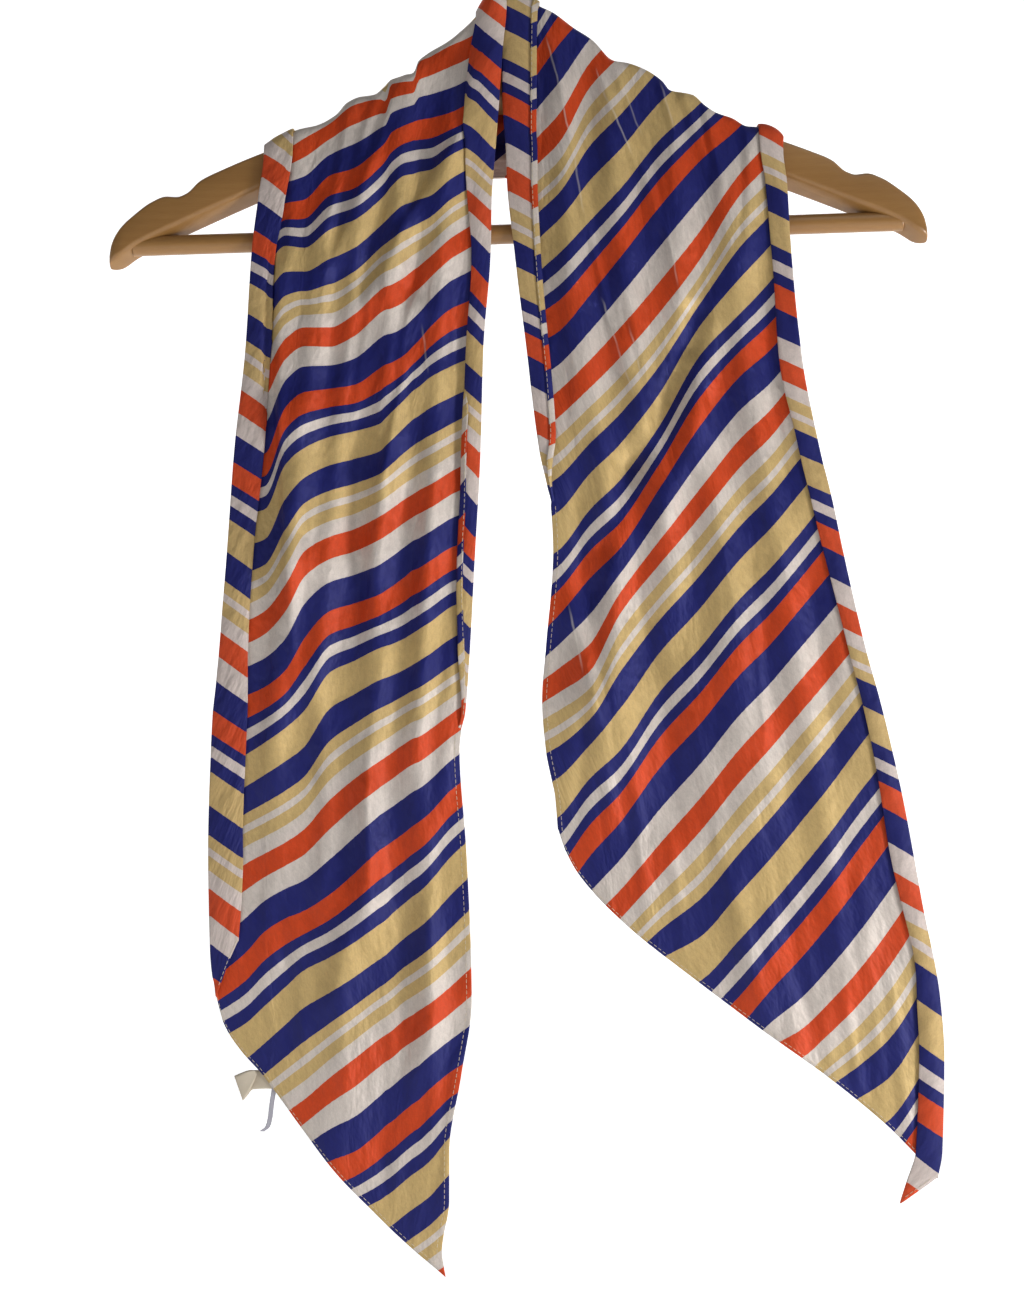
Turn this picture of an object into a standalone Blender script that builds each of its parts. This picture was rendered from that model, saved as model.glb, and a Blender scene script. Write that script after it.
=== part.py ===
"""A long striped satin scarf draped over a wooden clothes hanger, both ends hanging in front.

Lengths are in millimetres and become metres where a mesh is made. The origin is the inside of the
hook's crown, where a rail holds the hanger. +X is the scarf's right as seen from the front, the
front faces -Y, and +Z is up. A drop is a distance below the origin.
"""

import math

import bmesh
import bpy
import numpy as np
from mathutils import Euler, Vector

MM = 0.001

# The hanger's own frame lies in its flat board. It leans so that its foot comes forward, and it
# has swung a little, so that its right end is the higher one.
LEAN = math.radians(7.0)
SWING = math.radians(1.9)
BOARD_THICKNESS = 14.0
BOARD_ROUNDING = 2.0
# The board's underside falls this much from its front edge to its back edge.
FOOT_SLANT = 4.8
BAR_DIAMETER = 10.6
BAR_DROP = 196.8
BAR_HALF_LENGTH = 209.0
WIRE_DIAMETER = 3.6
HOOK_INNER_RADIUS = 19.0
HOOK_SEAT_DEPTH = 18.0
# The hook's ring starts and ends at these angles, and a soft bend of this height leads up to it.
HOOK_START, HOOK_END = -52, 216
HOOK_BEND_HEIGHT = 13.0
BORE_CLEARANCE = 0.3
# The board's own middle lies this far below the hook's crown.
BOARD_MIDDLE_DROP = 110.0

WALL = 1.2
SEAM_GAP = 0.5
WOOD_CLEARANCE = 1.2
# The cloth's middle surface runs this far from the board's middle plane as it laps over an arm.
LAP_RADIUS = BOARD_THICKNESS / 2 + WOOD_CLEARANCE + WALL / 2
LAP_SQUARENESS = 0.5
RIDGE_CLEARANCE = 2.8
HANG_DROP = 188.0
HANG_EASE = 12.0
HALF_PI = math.pi / 2


def table(columns, *rows):
    """A short table as one array for each named column."""
    return dict(zip(columns.split(), np.array(rows, float).T))


# Upper edge of the wooden board, from its middle out to a tip, and its lower edge.
BOARD_TOP = table(
    "out drop",
    (0, 75.5), (12, 76.5), (24, 85), (53.5, 108), (88.5, 129.5), (114, 140.5), (139, 149),
    (159, 157),
    (171.5, 163), (178.5, 169.5), (184, 171.5), (190, 171), (198, 174), (207, 180.5), (215, 188),
    (220, 196), (221.5, 202),
)
BOARD_FOOT = table(
    "out drop",
    (0, 122), (25, 125), (53, 133), (88, 147), (140, 168), (183, 186.5), (207, 197.5), (216, 203.5),
)

# The ridge where the cloth crosses the board's upper edge, left end to right end.
RIDGE = table(
    "x drop",
    (-132, 149), (-116, 140.5), (-96, 131), (-86, 124), (-68, 115), (-51, 107), (-42.5, 94.5),
    (-34.5, 88), (-19, 76.5), (-11, 66.5), (-4, 59), (3, 57), (9, 59.5), (14.5, 65), (32, 77),
    (45, 88), (57.5, 99.5), (79, 108), (88.5, 115), (108.5, 124.5), (121, 132), (146, 141.5),
    (152, 149),
)

# Each hanging end: its side edges, and the widths of the edge strips that are folded to the front.
LEFT_EDGES = table(
    "drop outer inner",
    (55, -131, -2.4), (69, -131, 0.0), (95, -131, -2.0), (129, -131, -4.0), (151, -131, -5.5),
    (179, -134, -7.5), (206, -137, -8), (260, -140.5, -12), (314, -146.5, -13.5), (368, -150.5, -16.5),
    (421, -155, -19.5), (455, -158, -22), (475, -159, -24.5), (529, -160.5, -21), (583, -159.5, -18.5),
    (610, -157, -18), (650, -155, -23.5), (691, -154, -30), (718, -154, -30), (745, -154, -34),
    (762, -154, -31.5),
)
LEFT_FOLD_WIDTHS = table(
    "drop outer inner",
    (55, 15, 12), (95, 15, 16), (123, 15, 17.5), (151, 15, 16), (206, 12.5, 9.5), (260, 13.5, 8),
    (314, 15, 9), (368, 13.5, 8.5), (421, 15, 5.5), (460, 17.5, 2), (529, 17.5, 2), (583, 15, 2),
    (610, 12, 2), (760, 12, 2),
)
LEFT_CUT = table(
    "x drop",
    (-156, 608.5), (-152.5, 622), (-143.5, 636.5), (-131.5, 650), (-111.5, 677), (-90, 704),
    (-64.5, 731), (-50, 744.5), (-33, 759), (-30, 762),
)
RIGHT_EDGES = table(
    "drop inner outer",
    (55, 6.4, 150), (69, 2.0, 150), (95, 0.0, 150), (139, -0.5, 150), (151, 0, 150),
    (167, 0.5, 151.5), (206, 4.5, 153.5), (260, 11, 159), (314, 18, 169.5), (341, 23.5, 176),
    (368, 25, 181.5), (421, 21, 194), (448, 19, 201.5), (475, 21, 208), (502, 26, 214),
    (556, 29, 224), (610, 30, 234), (640, 30, 236), (691, 30, 235), (706, 30, 232.5), (722, 30, 231),
)
RIGHT_FOLD_WIDTHS = table(
    "drop inner outer",
    (55, 10, 12), (74, 12.5, 12), (123, 15, 12), (168, 15, 10.5), (222, 12, 9), (276, 10.5, 11),
    (303, 9, 10), (338, 2, 10), (416, 2, 8), (470, 2, 9), (529, 2, 11.5), (583, 2, 9.5),
    (615, 2, 13.5), (690, 2, 14.5), (722, 2, 19.5),
)
RIGHT_CUT = table(
    "x drop",
    (27.5, 516), (32, 529), (39.5, 542.5), (65, 569.5), (99, 596.5), (134.5, 623), (172, 650),
    (205, 677), (232, 703.5), (240, 709),
)

# Soft lengthwise folds, each a ridge towards the front. "at" and "foot" are its places across the
# end at the shoulder and at the cut, from 0 at the left edge to 1 at the right.
LEFT_FOLDS = table(
    "at foot height width first last",
    (0.30, 0.24, 5.0, 0.055, 145, 520),
    (0.45, 0.40, 4.0, 0.050, 125, 470),
    (0.60, 0.62, 6.0, 0.060, 112, 600),
    (0.80, 0.84, 5.0, 0.060, 95, 680),
    (0.50, 0.50, 4.0, 0.120, 520, 780),
)
RIGHT_FOLDS = table(
    "at foot height width first last",
    (0.20, 0.22, 4.5, 0.050, 75, 520),
    (0.38, 0.40, 5.0, 0.055, 92, 430),
    (0.60, 0.55, 4.5, 0.060, 110, 560),
    (0.80, 0.76, 4.0, 0.055, 128, 640),
    (0.16, 0.10, 5.5, 0.080, 400, 520),
    (0.55, 0.62, 4.0, 0.110, 520, 720),
)
FOLD_FADE = 55.0

# Lower edge of the stretch behind the hook.
NAPE_FOOT = table(
    "x drop", (-132, 163), (-90, 166), (-40, 163.5), (0, 161.5), (50, 164), (105, 165), (152, 163)
)

LAP_ROWS = 5
FIELD_ROWS = 33
STRIP_COLUMNS = 3
FIELD_COLUMNS = 18
NAPE_COLUMNS = 36
NAPE_FIELD_ROWS = 7
# The hook's stem stands in the lap behind the neck, so the cloth starts further back there.
STEM_X, STEM_WIDTH, STEM_LAP = 2.0, 6.0, 0.42
RIDGE_GAP = 0.8
NAPE_LEAST_FALL = 2.0

LABEL_LINE = table(
    "x drop half depth",
    (-128, 650, 6.0, 0.0), (-133, 652, 5.0, 0.6), (-139, 654, 6.0, 1.8), (-144.5, 657, 6.5, 1.4),
)
TAIL_LINE = table(
    "x drop depth",
    (-124, 651, 0.0), (-125.5, 660, 0.2), (-126.5, 666, 0.6), (-127.5, 674, 1.2), (-129, 679, 1.8),
    (-132, 681.5, 2.2),
)
LABEL_Y = -30.2
LABEL_LEAN = 1.5
TAIL_HALF_WIDTH = 1.3
LABEL_THICKNESS = 1.0


def along(rows, key, column, at):
    """A smooth curve through two columns of a table: cubic pieces that don't overshoot."""
    keys, values = rows[key], rows[column]
    steps = np.diff(values) / np.diff(keys)
    slopes = np.zeros(len(keys))
    same_way = steps[:-1] * steps[1:] > 0
    slopes[1:-1][same_way] = 2 * (steps[:-1] * steps[1:])[same_way] / (steps[:-1] + steps[1:])[same_way]
    slopes[0], slopes[-1] = steps[0], steps[-1]
    at = np.clip(at, keys[0], keys[-1])
    left = np.clip(np.searchsorted(keys, at, side="right") - 1, 0, len(keys) - 2)
    width = keys[left + 1] - keys[left]
    part = (at - keys[left]) / width
    blend = part * part * (3 - 2 * part)
    return (
        values[left] * (1 - blend)
        + values[left + 1] * blend
        + width * part * (1 - part) * ((1 - part) * slopes[left] - part * slopes[left + 1])
    )


def hanger_pose():
    """The turn from the hanger's own frame to the part's."""
    return Euler((-LEAN, -SWING, 0.0), "XYZ").to_matrix()


def board_plane_y(x, drop):
    """Depth of the board's middle plane behind or before the origin, at a place on the front view."""
    return math.tan(LEAN) * (-drop * math.cos(SWING) - x * math.sin(SWING))


def board_top_drop(x):
    """Drop of the board's upper edge below the origin, after its lean and swing."""
    own_x = x - math.sin(SWING) * BOARD_MIDDLE_DROP
    own = along(BOARD_TOP, "out", "drop", np.abs(own_x)) * math.cos(LEAN)
    return own * math.cos(SWING) - own_x * math.sin(SWING)


def ridge_drop(x):
    """Drop of the cloth's ridge: the drawn one, kept clear of the wood."""
    return np.minimum(along(RIDGE, "x", "drop", x), board_top_drop(x) - RIDGE_CLEARANCE)


def hang_y(x, drop):
    """Depth of the board's plane down to the bar, then easing into straight down from there."""
    reach = HANG_DROP - HANG_EASE * np.log1p(np.exp((HANG_DROP - drop) / HANG_EASE))
    return board_plane_y(x, reach)


def lap_shape(lap):
    """Share of the lap's depth and of its fall at an angle: a quarter turn with a squarish corner."""
    over = np.clip(np.sin(lap), 0, 1) ** LAP_SQUARENESS
    down = 1 - np.clip(np.cos(lap), 0, 1) ** LAP_SQUARENESS
    return over, down


def fold_height(folds, across, drop):
    """How far the lengthwise folds stand forward at a place across the end and at a drop."""
    total = np.zeros_like(across)
    for at, foot, height, width, first, last in zip(*folds.values()):
        share = np.clip((drop - first) / (last - first), 0, 1)
        middle = at + (foot - at) * share
        start = np.clip((drop - first) / FOLD_FADE, 0, 1)
        end = np.clip((last - drop) / FOLD_FADE, 0, 1)
        strength = (start * start * (3 - 2 * start)) * (end * end * (3 - 2 * end))
        total += height * strength * np.exp(-(((across - middle) / width) ** 2))
    return total


def strip_places(edges, widths, drop, column):
    """X of one grid column: strip columns inside each fold width, field columns between them."""
    names = list(edges)[1:]
    left = along(edges, "drop", names[0], drop)
    right = along(edges, "drop", names[1], drop)
    left_inside = left + along(widths, "drop", names[0], drop)
    right_inside = right - along(widths, "drop", names[1], drop)
    field_share = (column - STRIP_COLUMNS) / FIELD_COLUMNS
    right_column = STRIP_COLUMNS + FIELD_COLUMNS
    return np.where(
        column <= STRIP_COLUMNS,
        left + (left_inside - left) * column / STRIP_COLUMNS,
        np.where(
            column >= right_column,
            right_inside + (right - right_inside) * (column - right_column) / STRIP_COLUMNS,
            left_inside + (right_inside - left_inside) * field_share,
        ),
    )


def end_points(edges, widths, folds, cut, columns, foot_of_column=None):
    """Middle surface of a hanging end over the given grid columns, rows from the ridge to its foot.

    The first rows lap a quarter turn round the board's upper edge. The others fall from there to
    the cut, whose drop depends on X, so X and the drop are found together by repetition.
    """
    column = np.broadcast_to(np.asarray(columns, float), (LAP_ROWS + FIELD_ROWS, len(columns)))
    row = np.arange(LAP_ROWS + FIELD_ROWS)[:, None]
    over, down = lap_shape(np.minimum(row / (LAP_ROWS - 1), 1) * HALF_PI)
    fall = np.clip((row - LAP_ROWS + 1) / FIELD_ROWS, 0, 1)
    drop = np.full(column.shape, 200.0)
    for _ in range(30):
        x = strip_places(edges, widths, drop, column)
        ridge = ridge_drop(x)
        foot = along(cut, "x", "drop", x) if foot_of_column is None else foot_of_column(column)
        wanted = ridge + LAP_RADIUS * down + fall * (foot - ridge - LAP_RADIUS)
        drop = 0.5 * drop + 0.5 * wanted
    names = list(edges)[1:]
    left = along(edges, "drop", names[0], drop)
    right = along(edges, "drop", names[1], drop)
    across = (x - left) / (right - left)
    y = hang_y(x, drop) - LAP_RADIUS * over - fold_height(folds, across, drop) * over
    return np.stack([x, y, -drop], axis=-1)


def moved_out(points, distance):
    """A grid of points moved along the surface's normals, towards the front."""
    down = np.gradient(points, axis=0)
    over = np.gradient(points, axis=1)
    normal = np.cross(down, over)
    normal /= np.linalg.norm(normal, axis=-1, keepdims=True)
    front = np.where(normal[..., 1:2] + normal[..., 2:3] * -1 > 0, -normal, normal)
    return points + distance * front


def nape_points():
    """Middle surface of the stretch behind the hook: it laps over the arms and hangs behind them."""
    x = np.linspace(RIDGE["x"][0], RIDGE["x"][-1], NAPE_COLUMNS)[None, :]
    row = np.arange(LAP_ROWS + NAPE_FIELD_ROWS)[:, None]
    lap_share = np.minimum(row / (LAP_ROWS - 1), 1)
    fall = np.clip((row - LAP_ROWS + 1) / NAPE_FIELD_ROWS, 0, 1)
    first = (WALL + RIDGE_GAP) / LAP_RADIUS / 2 + STEM_LAP * np.exp(-(((x - STEM_X) / STEM_WIDTH) ** 2))
    lap = first + (HALF_PI - first) * lap_share
    ridge = ridge_drop(x)
    foot = along(NAPE_FOOT, "x", "drop", x)
    over, down = lap_shape(lap)
    drop = ridge + LAP_RADIUS * down + fall * np.maximum(foot - ridge - LAP_RADIUS, NAPE_LEAST_FALL)
    y = board_plane_y(x, drop) + LAP_RADIUS * over
    return np.stack([np.broadcast_to(x, y.shape), y, -drop], axis=-1)


def material(name, colour, roughness, metallic=0.0):
    made = bpy.data.materials.new(name)
    made.use_nodes = True
    shader = made.node_tree.nodes["Principled BSDF"]
    shader.inputs["Base Color"].default_value = (*colour, 1.0)
    shader.inputs["Roughness"].default_value = roughness
    shader.inputs["Metallic"].default_value = metallic
    return made


def cloth_wall(name, points, collection, finish, thickness=WALL):
    """A wall of even thickness about a grid of middle points."""
    rows, columns = points.shape[:2]
    index = np.arange(rows * columns).reshape(rows, columns)
    faces = np.stack([index[:-1, :-1], index[1:, :-1], index[1:, 1:], index[:-1, 1:]], axis=-1)
    mesh = bpy.data.meshes.new(name)
    mesh.from_pydata((points.reshape(-1, 3) * MM).tolist(), [], faces.reshape(-1, 4).tolist())
    mesh.shade_smooth()
    mesh.materials.append(finish)
    cloth = bpy.data.objects.new(name, mesh)
    collection.objects.link(cloth)
    wall = cloth.modifiers.new("wall", "SOLIDIFY")
    wall.thickness = thickness * MM
    wall.offset = 0.0
    return cloth


def mesh_object(name, curve_object, collection, finish):
    """Turns a curve object into a closed mesh object at the same place."""
    graph = bpy.context.evaluated_depsgraph_get()
    mesh = bpy.data.meshes.new_from_object(curve_object.evaluated_get(graph))
    welded = bmesh.new()
    welded.from_mesh(mesh)
    bmesh.ops.remove_doubles(welded, verts=welded.verts, dist=1e-6)
    bmesh.ops.recalc_face_normals(welded, faces=welded.faces)
    welded.to_mesh(mesh)
    welded.free()
    made = bpy.data.objects.new(name, mesh)
    made.matrix_world = curve_object.matrix_world
    bpy.data.objects.remove(curve_object)
    mesh.materials.clear()
    mesh.materials.append(finish)
    collection.objects.link(made)
    return made


def hanger_cutter(name, radius, start, end, collection, parent):
    """A round cutter between two points of the hanger's own frame."""
    start, end = Vector(start) * MM, Vector(end) * MM
    bpy.ops.mesh.primitive_cylinder_add(vertices=32, radius=radius * MM, depth=(end - start).length)
    cutter = bpy.context.active_object
    cutter.name = name
    cutter.rotation_euler = (end - start).to_track_quat("Z", "Y").to_euler()
    cutter.location = (start + end) / 2
    cutter.parent = parent
    for old in list(cutter.users_collection):
        old.objects.unlink(cutter)
    collection.objects.link(cutter)
    cutter.hide_render = True
    cutter.display_type = "WIRE"
    return cutter


def hook_path():
    """The bent wire: up the stem, round the crown and down to a short turned-in end."""
    radius = HOOK_INNER_RADIUS + WIRE_DIAMETER / 2
    centre_drop = HOOK_INNER_RADIUS
    seat = BOARD_TOP["drop"][0] + HOOK_SEAT_DEPTH - 1.0
    stem_top = centre_drop + radius + HOOK_BEND_HEIGHT
    points = [(0.0, -drop) for drop in np.linspace(seat, stem_top, 5)]
    start = math.radians(HOOK_START)
    joint = (radius * math.cos(start), -centre_drop + radius * math.sin(start))
    for share in (0.25, 0.5, 0.75):
        # A soft S from the stem to the ring, level with the ring's own direction at its end.
        ease = share * share * (3 - 2 * share)
        rise = -stem_top + (joint[1] + stem_top) * share
        points.append((joint[0] * ease, rise))
    for angle in np.radians(np.arange(HOOK_START, HOOK_END, 12)):
        points.append((radius * math.cos(angle), -centre_drop + radius * math.sin(angle)))
    return points


def make_hook(collection, parent, finish):
    curve = bpy.data.curves.new("hanger_hook", "CURVE")
    curve.dimensions = "3D"
    curve.bevel_depth = WIRE_DIAMETER / 2 * MM
    curve.bevel_resolution = 2
    curve.use_fill_caps = True
    path = hook_path()
    spline = curve.splines.new("POLY")
    spline.points.add(len(path) - 1)
    for point, (out, up) in zip(spline.points, path):
        point.co = (out * MM, 0.0, up * MM, 1.0)
    curve.materials.append(finish)
    hook = bpy.data.objects.new("hanger_hook", curve)
    hook.parent = parent
    collection.objects.link(hook)
    return hook


def make_bar(collection, parent, finish):
    bpy.ops.mesh.primitive_cylinder_add(
        vertices=24, radius=BAR_DIAMETER / 2 * MM, depth=2 * BAR_HALF_LENGTH * MM
    )
    bar = bpy.context.active_object
    bar.name = "hanger_bar"
    bar.rotation_euler = (0.0, HALF_PI, 0.0)
    bar.location = (0.0, 0.0, -BAR_DROP * MM)
    bar.parent = parent
    for old in list(bar.users_collection):
        old.objects.unlink(bar)
    collection.objects.link(bar)
    bar.data.materials.append(finish)
    return bar


def slant_the_foot(mesh):
    """Lowers the board's underside towards its back, where the outline lies below its middle."""
    for vertex in mesh.vertices:
        out, up, depth = vertex.co / MM
        top = float(along(BOARD_TOP, "out", "drop", abs(out)))
        foot = float(along(BOARD_FOOT, "out", "drop", abs(out)))
        if -up > (top + foot) / 2:
            behind = 0.5 - depth / BOARD_THICKNESS
            vertex.co.y -= FOOT_SLANT * behind * MM


def make_yoke(collection, cutters, parent, finish):
    """The shoulder board: one closed outline, rounded edges, bored for the bar and the hook."""
    top_out = np.concatenate([np.arange(0, 160, 9.0), np.arange(160, 221.5, 3.5), [221.5]])
    top = [(out, -float(along(BOARD_TOP, "out", "drop", out))) for out in top_out]
    foot_out = np.concatenate([[216], np.arange(207, 0, -13.0), [0]])
    foot = [(out, -float(along(BOARD_FOOT, "out", "drop", out))) for out in foot_out]
    half = top + [(221.0, -205.0)] + foot
    outline = half + [(-out, up) for out, up in reversed(half) if out > 0]
    curve = bpy.data.curves.new("hanger_yoke", "CURVE")
    curve.dimensions = "2D"
    curve.fill_mode = "BOTH"
    curve.extrude = (BOARD_THICKNESS / 2 - BOARD_ROUNDING) * MM
    curve.bevel_depth = BOARD_ROUNDING * MM
    curve.bevel_resolution = 1
    curve.offset = -BOARD_ROUNDING * MM
    spline = curve.splines.new("POLY")
    spline.points.add(len(outline) - 1)
    for point, (out, up) in zip(spline.points, outline):
        point.co = (out * MM, up * MM, 0.0, 1.0)
    spline.use_cyclic_u = True
    flat = bpy.data.objects.new("yoke_outline", curve)
    flat.rotation_euler = (HALF_PI, 0.0, 0.0)
    flat.parent = parent
    collection.objects.link(flat)
    bpy.context.view_layer.update()
    yoke = mesh_object("hanger_yoke", flat, collection, finish)
    slant_the_foot(yoke.data)

    bore = BAR_DIAMETER / 2 + BORE_CLEARANCE
    reach = BAR_HALF_LENGTH + BORE_CLEARANCE
    ends = ((-reach, 0, -BAR_DROP), (reach, 0, -BAR_DROP))
    seat_top = (0, 0, -BOARD_TOP["drop"][0] + 10)
    seat_foot = (0, 0, -BOARD_TOP["drop"][0] - HOOK_SEAT_DEPTH)
    stem_bore = WIRE_DIAMETER / 2 + BORE_CLEARANCE
    drills = (
        hanger_cutter("bar_drill", bore, *ends, cutters, parent),
        hanger_cutter("stem_drill", stem_bore, seat_top, seat_foot, cutters, parent),
    )
    for drill in drills:
        cut = yoke.modifiers.new(drill.name, "BOOLEAN")
        cut.operation = "DIFFERENCE"
        cut.object = drill
    return yoke


def left_outer_foot(column):
    """The left outer strip is cut on a slant that rises from the fold to its inner edge."""
    return 608.0 - 33.0 * column / STRIP_COLUMNS


def left_inner_foot(column):
    return np.full_like(column, 458.0)


def right_inner_foot(column):
    return np.full_like(column, 336.0)


def right_outer_foot(column):
    """The folded tip hangs below the cut, lowest at the strip's inner edge."""
    share = (STRIP_COLUMNS * 2 + FIELD_COLUMNS - column) / STRIP_COLUMNS
    return 705.0 + 15.0 * share


def make_cloth(collection):
    satin = material("satin_side", (0.60, 0.52, 0.45), 0.35)
    reverse = material("reverse_side", (0.12, 0.13, 0.32), 0.6)
    last = 2 * STRIP_COLUMNS + FIELD_COLUMNS
    all_columns = np.arange(last + 1)
    left_strip = np.arange(STRIP_COLUMNS + 1)
    right_strip = np.arange(last - STRIP_COLUMNS, last + 1)
    lift = WALL + SEAM_GAP
    ends = (
        ("left", LEFT_EDGES, LEFT_FOLD_WIDTHS, LEFT_FOLDS, LEFT_CUT),
        ("right", RIGHT_EDGES, RIGHT_FOLD_WIDTHS, RIGHT_FOLDS, RIGHT_CUT),
    )
    strips = {
        "left": (("outer", left_strip, left_outer_foot), ("inner", right_strip, left_inner_foot)),
        "right": (("inner", left_strip, right_inner_foot), ("outer", right_strip, right_outer_foot)),
    }
    for side, edges, widths, folds, cut in ends:
        panel = end_points(edges, widths, folds, cut, all_columns)
        cloth_wall(side + "_panel", panel, collection, satin)
        for place, columns, foot in strips[side]:
            strip = end_points(edges, widths, folds, cut, columns, foot)
            name = f"{side}_{place}_fold"
            cloth_wall(name, moved_out(strip, lift), collection, reverse)
    cloth_wall("nape", nape_points(), collection, satin)


def make_label(collection):
    """The bare label folded behind the left cut, and the thin tape that hangs from its seam."""
    cream = material("label_cream", (0.85, 0.80, 0.70), 0.8)
    fold, tail = LABEL_LINE, TAIL_LINE
    side = np.array([-1.0, 0.0, 1.0])[None, :]
    x = fold["x"][:, None] + side * LABEL_LEAN
    y = LABEL_Y + fold["depth"][:, None] + 0 * side
    z = -(fold["drop"][:, None] + side * fold["half"][:, None])
    cloth_wall("sewn_label", np.stack([x, y, z], axis=-1), collection, cream, LABEL_THICKNESS)
    side = np.array([-1.0, 1.0])[None, :] * TAIL_HALF_WIDTH
    x = tail["x"][:, None] + side
    y = LABEL_Y + tail["depth"][:, None] + 0 * side
    z = -(tail["drop"][:, None] + 0 * side)
    cloth_wall("label_tail", np.stack([x, y, z], axis=-1), collection, cream, LABEL_THICKNESS)


def main():
    for old in list(bpy.data.objects):
        bpy.data.objects.remove(old)
    scarf = bpy.data.collections.new("scarf_on_hanger")
    cutters = bpy.data.collections.new("cutters")
    bpy.context.scene.collection.children.link(scarf)
    bpy.context.scene.collection.children.link(cutters)
    pose = bpy.data.objects.new("hanger_pose", None)
    pose.rotation_euler = (-LEAN, -SWING, 0.0)
    scarf.objects.link(pose)
    wood = material("pale_wood", (0.54, 0.34, 0.15), 0.45)
    wire = material("hook_wire", (0.75, 0.75, 0.76), 0.25, 1.0)
    make_yoke(scarf, cutters, pose, wood)
    make_bar(scarf, pose, wood)
    make_hook(scarf, pose, wire)
    make_cloth(scarf)
    make_label(scarf)
    bpy.context.view_layer.update()


main()
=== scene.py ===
# %% [markdown]
# # A striped satin scarf on a wooden hanger
#
# The real object is one long strip of printed satin. It is laid over a clothes hanger the way it
# would be worn: the middle goes round behind the hook, and both ends hang down in front. Both long
# edges are folded to the front, so the duller wrong side of the cloth shows there as narrow strips.
#
# The solid model already fixes every size and place. This script dresses it, so it starts by
# loading that model as a frame that nothing here moves.

# %% Load the frame
import math

import bpy
import numpy as np
from mathutils import Euler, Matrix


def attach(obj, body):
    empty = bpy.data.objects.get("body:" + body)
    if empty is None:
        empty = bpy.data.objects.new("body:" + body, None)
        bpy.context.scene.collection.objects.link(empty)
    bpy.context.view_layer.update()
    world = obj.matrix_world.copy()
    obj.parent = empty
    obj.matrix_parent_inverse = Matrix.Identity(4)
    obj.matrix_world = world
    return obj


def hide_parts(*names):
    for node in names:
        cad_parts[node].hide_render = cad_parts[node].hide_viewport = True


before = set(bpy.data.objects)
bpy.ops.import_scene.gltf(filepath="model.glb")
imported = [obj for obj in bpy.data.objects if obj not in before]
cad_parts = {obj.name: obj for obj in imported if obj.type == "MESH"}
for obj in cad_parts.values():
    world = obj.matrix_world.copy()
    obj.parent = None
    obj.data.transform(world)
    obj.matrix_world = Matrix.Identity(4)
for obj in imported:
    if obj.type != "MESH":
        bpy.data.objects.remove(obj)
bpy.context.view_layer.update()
MM = 0.001

# %% [markdown]
# ## The camera
#
# The picture was taken from the front, level with the middle of the scarf and, by assumption, a
# little over a metre away. A camera could be placed by eye, but the cloth's stripes are charted as
# they are seen from the front, so the same numbers are needed twice: once for the camera, and once
# to find where a point of the cloth appears. They are kept as named values, in millimetres, where a
# drop is a distance below the inside of the hook.

# %% Camera
CAMERA_X = 3.24
CAMERA_DROP = 425.25
CLOTH_PLANE_Y = -30.0
CAMERA_AWAY = 1100.0
CAMERA_Y = CLOTH_PLANE_Y - CAMERA_AWAY
PICTURE_ROWS, MM_PER_PIXEL = 1315, 0.54
SENSOR = 36.0

camera_data = bpy.data.cameras.new("camera")
camera_data.sensor_width = SENSOR
camera_data.lens = SENSOR * CAMERA_AWAY / (PICTURE_ROWS * MM_PER_PIXEL)
camera = bpy.data.objects.new("camera", camera_data)
camera.location = (CAMERA_X * MM, CAMERA_Y * MM, -CAMERA_DROP * MM)
camera.rotation_euler = (math.pi / 2, 0.0, 0.0)
bpy.context.scene.collection.objects.link(camera)
bpy.context.scene.camera = camera
print("lens", round(camera_data.lens, 2), "mm")

# %% [markdown]
# ## Two small tools for numbers
#
# Cloth edges, fold widths and the hanger's outline are all short tables with named columns. A
# smooth curve through the rows gives every value between them. A plain spline would swing past
# its points and make bulges that the cloth doesn't have, so the curve used here takes the harmonic
# mean of the neighbouring slopes, which never overshoots.

# %% Tables and curves
def table(columns, *rows):
    """A short table as one array for each named column."""
    return dict(zip(columns.split(), np.array(rows, float).T))


def cubic_between(keys, values, at):
    """Cubic through (keys, values) along axis 0, straight beyond its ends.

    Slope at a row = harmonic mean of the steps beside it, or 0 where they differ in sign.
    """
    steps = np.diff(values, axis=0) / np.diff(keys, axis=0)
    slopes = np.zeros(keys.shape)
    before, after = steps[:-1], steps[1:]
    same_way = before * after > 0
    total = np.where(same_way, before + after, 1.0)
    slopes[1:-1] = np.where(same_way, 2 * before * after / total, 0.0)
    slopes[0], slopes[-1] = steps[0], steps[-1]
    left = np.clip((at[None] >= keys).sum(axis=0) - 1, 0, len(keys) - 2)
    pick = lambda rows, index: np.take_along_axis(rows, index[None], axis=0)[0]
    start, end = pick(keys, left), pick(keys, left + 1)
    low, high = pick(values, left), pick(values, left + 1)
    first, last = pick(slopes, left), pick(slopes, left + 1)
    width = end - start
    part = np.clip((at - start) / width, 0, 1)
    blend = part * part * (3 - 2 * part)
    curve = low * (1 - blend) + high * blend
    curve += width * part * (1 - part) * ((1 - part) * first - part * last)
    return curve + np.minimum(at - start, 0) * first + np.maximum(at - end, 0) * last


def along(rows, key, column, at):
    """The value of one column of a table at places along another, held beyond its ends."""
    at = np.asarray(at, float)
    keys = rows[key]
    flat = np.clip(at.ravel(), keys[0], keys[-1])
    spread = (len(keys), flat.size)
    tall_keys = np.broadcast_to(keys[:, None], spread)
    tall_values = np.broadcast_to(rows[column][:, None], spread)
    return cubic_between(tall_keys, tall_values, flat).reshape(at.shape)


def smooth(value):
    """Eases from 0 to 1: three times the square less twice the cube."""
    value = np.clip(value, 0, 1)
    return value * value * (3 - 2 * value)


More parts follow.
